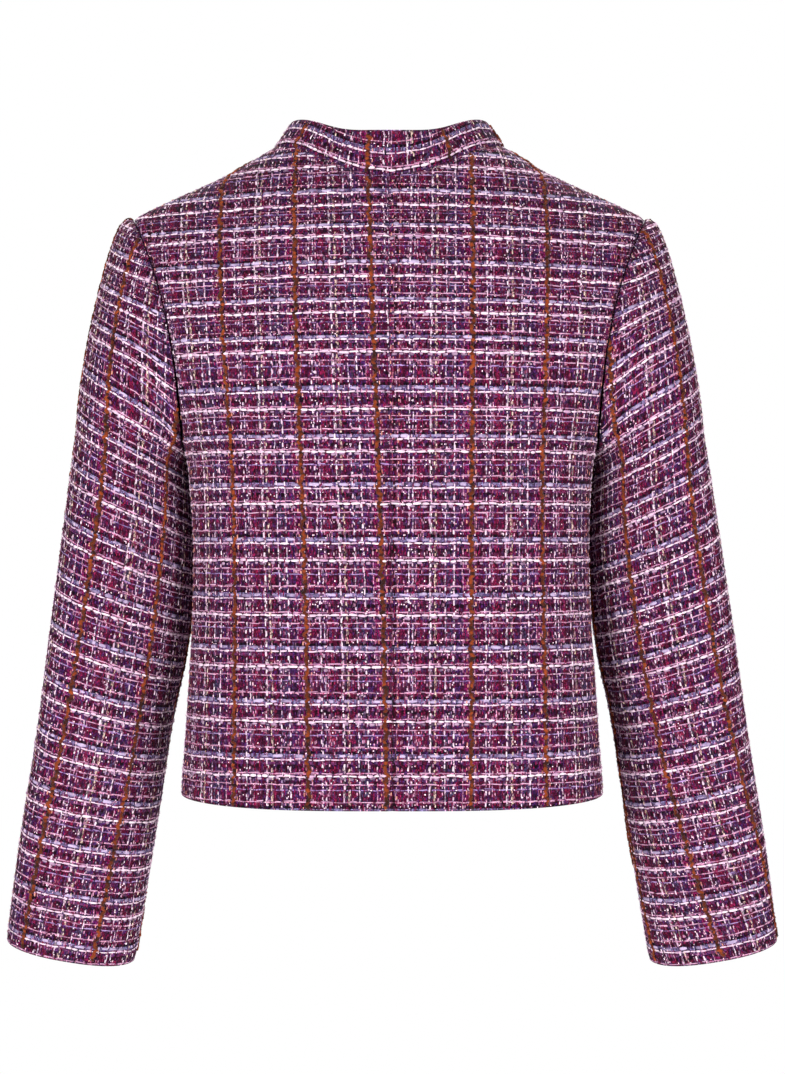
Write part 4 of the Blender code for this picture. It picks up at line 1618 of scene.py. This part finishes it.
@dataclass
class Sleeve(ClothPiece):
    """A set-in sleeve, a tube from the armhole to the cuff with its seam under the arm."""

    back: BodyPanel | None = None
    front: BodyPanel | None = None
    side: Side = Side.LEFT
    rust_place: float = 0.047
    rust_drift: float = 0.0
    drift_power: float = 1.0
    weft_at_biceps: float = 0.020
    seam_clearance: float = 0.00002
    seam_outward: float = 1.2
    weft_droop: float = 0.13
    cap_rows: int = 40
    row_pitch: float = 0.0048
    cap_fullness: float = 0.014
    head_spread: float = 0.050
    head_rise: float = 0.012
    head_fade: int = 8
    cap_finish: float = 0.75
    cap_crowding: float = 1.3

    def edges(self) -> tuple[EdgeFinish, EdgeFinish, EdgeFinish, EdgeFinish]:
        """Only the cuff is a hem: the armhole and the underarm are seams."""
        return SEAM, HEM, SEAM, SEAM

    def closed_ring(self, by_back: np.ndarray, by_front: np.ndarray) -> np.ndarray:
        """A ring of points down the back from the top and up the front."""
        return np.concatenate([by_back[:-1], by_front[:0:-1]])

    def armhole_ring(self) -> np.ndarray:
        """Draws the sleeve's first ring just clear of the body's armhole edge.

        Returns:
            The ring's points, from the shoulder by the back.
        """
        edges = []
        for panel in (self.back, self.front):
            low = panel.form.low_rows
            edge = panel.form_points[low:, -1][::-1]
            within = panel.form_points[low:, -2][::-1]
            normals = panel.form_normals[low:, -1][::-1]
            away = unit(np.cross(np.gradient(edge, axis=0), normals))
            away *= np.sign(np.sum(away * (edge - within), axis=1))[:, None]
            outward = np.array([self.side.value, 0.0, 0.0])
            edges.append(edge + self.seam_clearance * (away + self.seam_outward * outward))
        by_back, by_front = edges
        by_back[0] = by_front[0] = 0.5 * (by_back[0] + by_front[0])
        by_back[-1] = by_front[-1] = 0.5 * (by_back[-1] + by_front[-1])
        return self.closed_ring(by_back, by_front)

    def section_ring(self, section: SleeveSection, columns: int) -> np.ndarray:
        """An oval ring of the sleeve between a section's inner and outer points.

        Args:
            section: The ring's row in the table.
            columns: Number of points round the ring.

        Returns:
            The ring's points, from the outer one by the back.
        """
        angle = np.linspace(0.0, np.pi, 2 * ARC_SAMPLES + 1)
        inner, outer = np.array(section.inner), np.array(section.outer)
        power = 2.0 / section.squareness
        width = np.sign(np.cos(angle)) * np.abs(np.cos(angle)) ** power
        lean = math.radians(section.lean_deg)
        depth = section.half_depth * np.array([0.0, math.cos(lean), -math.sin(lean)])
        halves = []
        for way in (1.0, -1.0):
            ring = (
                0.5 * (inner + outer)
                + width[:, None] * 0.5 * (outer - inner)
                + way * np.sin(angle)[:, None] ** power * depth
            )
            ring = ring * np.array([self.side.value, 1.0, 1.0])
            halves.append(at_shares(ring, np.linspace(0.0, 1.0, columns // 2 + 1)))
        return self.closed_ring(*halves)

    def cap(self, armhole: np.ndarray, biceps: np.ndarray, axis: np.ndarray) -> np.ndarray:
        """Rows from the armhole to just above the biceps ring, swelling out smoothly.

        Args:
            armhole: The sleeve's first ring.
            biceps: The ring under the cap.
            axis: Direction of the arm below the cap.

        Returns:
            Rows of rings.
        """
        turn = np.linspace(0.0, 2.0 * np.pi, len(armhole), endpoint=False)
        weights = np.stack(
            [np.maximum(np.cos(turn), 0.0) ** 2, np.sin(turn) ** 2, np.maximum(-np.cos(turn), 0.0) ** 2]
        )
        spread = np.array([start.spread for start in CAP_STARTS]) @ weights
        fall = np.array([start.fall for start in CAP_STARTS]) @ weights
        side = self.side.value
        leaving = np.stack([side * spread, self.cap_fullness * np.sin(turn), -fall], axis=1)
        head = weights[0][:, None] * np.array([side * self.head_spread, 0.0, self.head_rise])
        arriving = self.cap_finish * np.linalg.norm(biceps - armhole, axis=1)[:, None] * axis
        rows = []
        for t in np.linspace(0.0, 1.0, self.cap_rows, endpoint=False) ** self.cap_crowding:
            row = cubic(t, 1.0, (armhole, biceps), (leaving, arriving))
            rows.append(row + t * (1.0 - t) ** self.head_fade * head)
        return np.array(rows)

    def lay_out(self) -> ClothGrid:
        """Works out the sleeve's points, and its grain from the top of the arm and the biceps.

        Returns:
            The sleeve's grid.
        """
        armhole = self.armhole_ring()
        columns = len(armhole)
        rings = np.array([self.section_ring(section, columns) for section in SLEEVE_SECTIONS])
        middles = rings.mean(axis=1)
        stations = lengths_along(middles, 0)
        wanted = np.linspace(0.0, stations[-1], round(stations[-1] / self.row_pitch) + 1)
        tube = smooth_through(stations, rings, wanted)
        axis = unit(middles[1] - middles[0])
        points = np.concatenate([self.cap(armhole, rings[0], axis), tube])
        normals = grid_normals(points, wraps=True) * -self.side.value
        points = points + normals * fold_heights(self.name, points, True)[..., None]

        underarm = columns // 2
        points, normals = (np.roll(part, -underarm, axis=1) for part in (points, normals))
        points, normals = (np.concatenate([part, part[:, :1]], axis=1) for part in (points, normals))
        along = lengths_along(points[self.cap_rows :], 0).mean(axis=1)
        around = lengths_along(points, 1)
        around = around - around[:, underarm : underarm + 1]
        u = np.empty(points.shape[:2])
        v = np.empty(points.shape[:2])
        u[self.cap_rows :] = around[self.cap_rows :]
        fade = self.weft_droop * (1.0 - along / along[-1])[:, None]
        v[self.cap_rows :] = along[:, None] - fade * np.abs(u[self.cap_rows :])
        upward = -axis
        for row in range(self.cap_rows - 1, -1, -1):
            step = points[row] - points[row + 1]
            normal = unit(normals[row] + normals[row + 1])
            warp = unit(upward - normal * (normal @ upward)[:, None])
            weft = np.cross(warp, normal) * self.side.value
            v[row] = v[row + 1] - np.sum(step * warp, axis=1)
            u[row] = u[row + 1] + np.sum(step * weft, axis=1)
        share = np.concatenate([np.zeros(self.cap_rows), along / along[-1]])[:, None]
        u = self.side.value * (u - self.rust_place - self.rust_drift * share**self.drift_power)
        v = v + self.weft_at_biceps
        points = swayed(self.sink_seams(points, normals))
        return ClothGrid(points, normals, u, v, u, WEFT_BEAT.places(v), wraps=True)


@dataclass
class Collar(ClothPiece):
    """The stand collar, a band that rises from the neckline and leans in."""

    panels: dict[str, BodyPanel] = field(default_factory=dict)
    height_back: float = 0.0352
    height_side: float = 0.0250
    height_front: float = 0.0330
    lean_back_deg: float = 9.0
    lean_side_deg: float = 33.0
    lean_front_deg: float = 14.0
    blend_back: float = 5.0
    blend_front: float = 1.6
    rows: int = 12
    rust_place: float = 0.0176
    grain_ease: float = 0.85
    weft_at_seam: float = 0.0200
    seam_reach: float = 0.006

    def edges(self) -> tuple[EdgeFinish, EdgeFinish, EdgeFinish, EdgeFinish]:
        """The band rises from the neck seam, with a hem at the top and open ends in front."""
        return SEAM, HEM, OPENING, OPENING

    def lay_out(self) -> ClothGrid:
        """Works out the collar's points, and its grain from the centre back and the neck seam.

        Returns:
            The collar's grid.
        """
        seam = None
        for name in ("front_left", "back_left", "back_right", "front_right"):
            panel = self.panels[name]
            neck = slice(panel.form.neck_columns + 1)
            points = panel.form_points[:, neck]
            both = np.stack([points[-1], unit(points[-1] - points[-2]), panel.grid.points[-1, neck]])
            if name in ("back_left", "front_right"):
                both = both[:, ::-1]
            if seam is not None:
                shared = 0.5 * (seam[:, -1:] + both[:, :1])
                both = np.concatenate([seam[:, :-1], shared, both[:, 1:]], axis=1)
            seam = both
        seam, sewn = seam[0] + COLLAR_SEAM_LIFT * unit(seam[1]), seam[2]
        seam[0, 0] = 0.5 * FRONT_OPENING_GAP
        seam[-1, 0] = -0.5 * FRONT_OPENING_GAP
        plan = unit(seam * np.array([1.0, 1.0, 0.0]))
        backward = np.clip(plan[:, 1], 0.0, 1.0) ** self.blend_back
        forward = np.clip(-plan[:, 1], 0.0, 1.0) ** self.blend_front
        weights = np.stack([backward, 1.0 - backward - forward, forward])
        height = np.array([self.height_back, self.height_side, self.height_front]) @ weights
        lean = np.radians(np.array([self.lean_back_deg, self.lean_side_deg, self.lean_front_deg]) @ weights)
        rising = np.array([0.0, 0.0, 1.0]) * np.cos(lean)[:, None] - plan * np.sin(lean)[:, None]
        rising[[0, -1], 0] = 0.0
        share = np.linspace(0.0, 1.0, self.rows + 1)[:, None, None]
        points = seam[None] + share * (height[:, None] * rising)[None]
        normals = grid_normals(points, wraps=False)
        normals[:, [0, -1], 0] = 0.0
        normals = unit(normals)
        up = lengths_along(points, 0)
        around = lengths_along(points, 1)
        around = around - around[:, [around.shape[1] // 2]]
        u = np.broadcast_to(around[:1], up.shape)
        v = self.weft_at_seam - up
        ends = self.grain_ease * (u + self.rust_place)
        points = swayed(self.sink_seams(points, normals))
        points = points + np.exp(-((up / self.seam_reach) ** 2))[..., None] * (sewn - points[0])
        return ClothGrid(points, normals, u, v, ends, v)


@dataclass
class Jacket:
    """The whole jacket: four body panels, two sleeves and the collar."""

    roll_back: float = 0.21
    roll_front: float = 0.26
    hem_drop_back: float = 0.0055
    hem_drop_front: float = 0.003
    neck_height_back: float = -0.029
    neck_height_front: float = -0.082
    pieces: list[ClothPiece] = field(default_factory=list)

    def build(self) -> None:
        """Makes all the pieces, the body first because the others are sewn to it."""
        gap = 0.5 * FRONT_OPENING_GAP
        back = BodyForm(BACK_LEVELS, self.roll_back, self.hem_drop_back, self.neck_height_back, 0.0)
        front = BodyForm(FRONT_LEVELS, self.roll_front, self.hem_drop_front, self.neck_height_front, gap)
        panels = {}
        for panel in (
            BodyPanel("back_left", seed=11, form=back, side=Side.LEFT, grain_sign=-1.0, grain_at_hem=0.0045,
                      grain_drift=0.0120, skipped_chains=(-3,)),
            BodyPanel("back_right", seed=12, form=back, side=Side.RIGHT, grain_sign=1.0, grain_at_hem=0.0604,
                      grain_drift=0.0053, skipped_chains=(-1, 2)),
            BodyPanel("front_left", seed=13, form=front, side=Side.LEFT, open_centre=True, grain_sign=1.0,
                      grain_at_hem=0.0200),
            BodyPanel("front_right", seed=14, form=front, side=Side.RIGHT, open_centre=True, grain_sign=-1.0,
                      grain_at_hem=0.0200),
        ):
            panel.build()
            panels[panel.name] = panel
        sleeves = [
            Sleeve("sleeve_left", seed=15, back=panels["back_left"], front=panels["front_left"],
                   side=Side.LEFT, rust_place=0.061, rust_drift=-0.026),
            Sleeve("sleeve_right", seed=16, back=panels["back_right"], front=panels["front_right"],
                   side=Side.RIGHT, rust_place=0.050, rust_drift=-0.040, drift_power=2.0),
        ]
        collar = Collar("collar", seed=17, panels=panels, skipped_yarns=("slub_pick",))
        for piece in (*sleeves, collar):
            piece.build()
        self.pieces = [*panels.values(), *sleeves, collar]

    def dress(self) -> None:
        """Attaches every piece to the root body, hides the CAD part it replaces and logs its faces and cut
        size.
        """
        for piece in self.pieces:
            piece.dress()


@dataclass(frozen=True)
class Lamp:
    """A soft lamp that faces the jacket: its place, the side of its square face and its watts."""

    name: str
    place: tuple[float, float, float]
    size: float
    power: float


LAMPS = (
    Lamp("left_behind", (1.5, 2.42, 0.1), 1.2, 65.0),
    Lamp("right_behind", (-1.5, 2.42, 0.1), 1.2, 60.0),
    Lamp("fill_front", (-0.2, -1.9, 2.0), 1.6, 110.0),
)


@dataclass
class Studio:
    """A pale floor, soft light and the camera straight behind the jacket."""

    camera_place: tuple[float, float, float] = (-0.0025, 2.2, -0.3088)
    lens: float = 92.2
    sensor: float = 36.0
    floor_height: float = -1.40
    floor_radius: float = 2.6
    floor_sides: int = 96
    paper: str = "#FFFFFF"
    paper_roughness: float = 0.9
    ambient_front: float = 0.06
    ambient_behind: float = 0.11

    def add_camera(self) -> None:
        """Adds the camera at the photograph's viewing angle."""
        data = bpy.data.cameras.new("camera")
        data.lens = self.lens
        data.sensor_width = self.sensor
        camera = bpy.data.objects.new("camera", data)
        camera.location = self.camera_place
        camera.rotation_euler = (0.5 * math.pi, 0.0, math.pi)
        bpy.context.scene.collection.objects.link(camera)
        bpy.context.scene.camera = camera

    def add_floor(self) -> None:
        """Adds a round pale floor below the jacket."""
        bpy.ops.object.select_all(action="DESELECT")
        bpy.ops.mesh.primitive_circle_add(
            vertices=self.floor_sides,
            radius=self.floor_radius,
            fill_type="NGON",
            location=(0.0, 0.0, self.floor_height),
        )
        floor = bpy.context.object
        floor.name = "studio_floor"
        # A sheet of matt white paper, left plain
        paper = {"Base Color": linear(self.paper), "Roughness": self.paper_roughness}
        floor.data.materials.append(make_material("matt_white_paper", [], paper)[0])

    def add_lamp(self, lamp: Lamp) -> None:
        """Adds a lamp and turns it to the jacket.

        Args:
            lamp: The lamp's row in the table.
        """
        data = bpy.data.lights.new(lamp.name, "AREA")
        data.size = lamp.size
        data.energy = lamp.power
        light = bpy.data.objects.new(lamp.name, data)
        light.location = lamp.place
        target = Vector((0.0, 0.0, self.camera_place[2]))
        light.rotation_euler = (target - Vector(lamp.place)).to_track_quat("-Z", "Y").to_euler()
        bpy.context.scene.collection.objects.link(light)

    def add_world(self) -> None:
        """Adds white surroundings that light the jacket mostly from behind."""
        world = bpy.data.worlds.new("white_studio")
        world.use_nodes = True
        bpy.context.scene.world = world
        soft = {"Value": "facing", "To Min": self.ambient_front, "To Max": self.ambient_behind}
        recipe = [
            Step("toward", "TexCoord"),
            Step("parts", "SeparateXYZ", "", {0: "toward:Generated"}),
            Step("facing", "Math", "MAXIMUM", {0: "parts:Y", 1: 0.0}),
            Step("soft", "MapRange", "", soft),
            Step("path", "LightPath"),
            Step("strength", "Mix", "FLOAT", {"Factor": "path:Is Camera Ray", VALUE_A: "soft", VALUE_B: 1.0}),
        ]
        made = {}
        for step in recipe:
            add_node(world.node_tree, step, made)
        white = {"Color": (1.0, 1.0, 1.0, 1.0), "Strength": "strength"}
        set_inputs(world.node_tree.nodes["Background"], white, made)

    def build(self) -> None:
        """Sets up the whole studio."""
        self.add_camera()
        self.add_floor()
        for lamp in LAMPS:
            self.add_lamp(lamp)
        self.add_world()
        bpy.context.scene.view_settings.view_transform = "Standard"


def main() -> None:
    """Builds the jacket and its studio and reports each piece."""
    logging.basicConfig(level=logging.INFO, format="%(message)s")
    jacket = Jacket()
    jacket.build()
    jacket.dress()
    Studio().build()


if __name__ == "__main__":
    main()
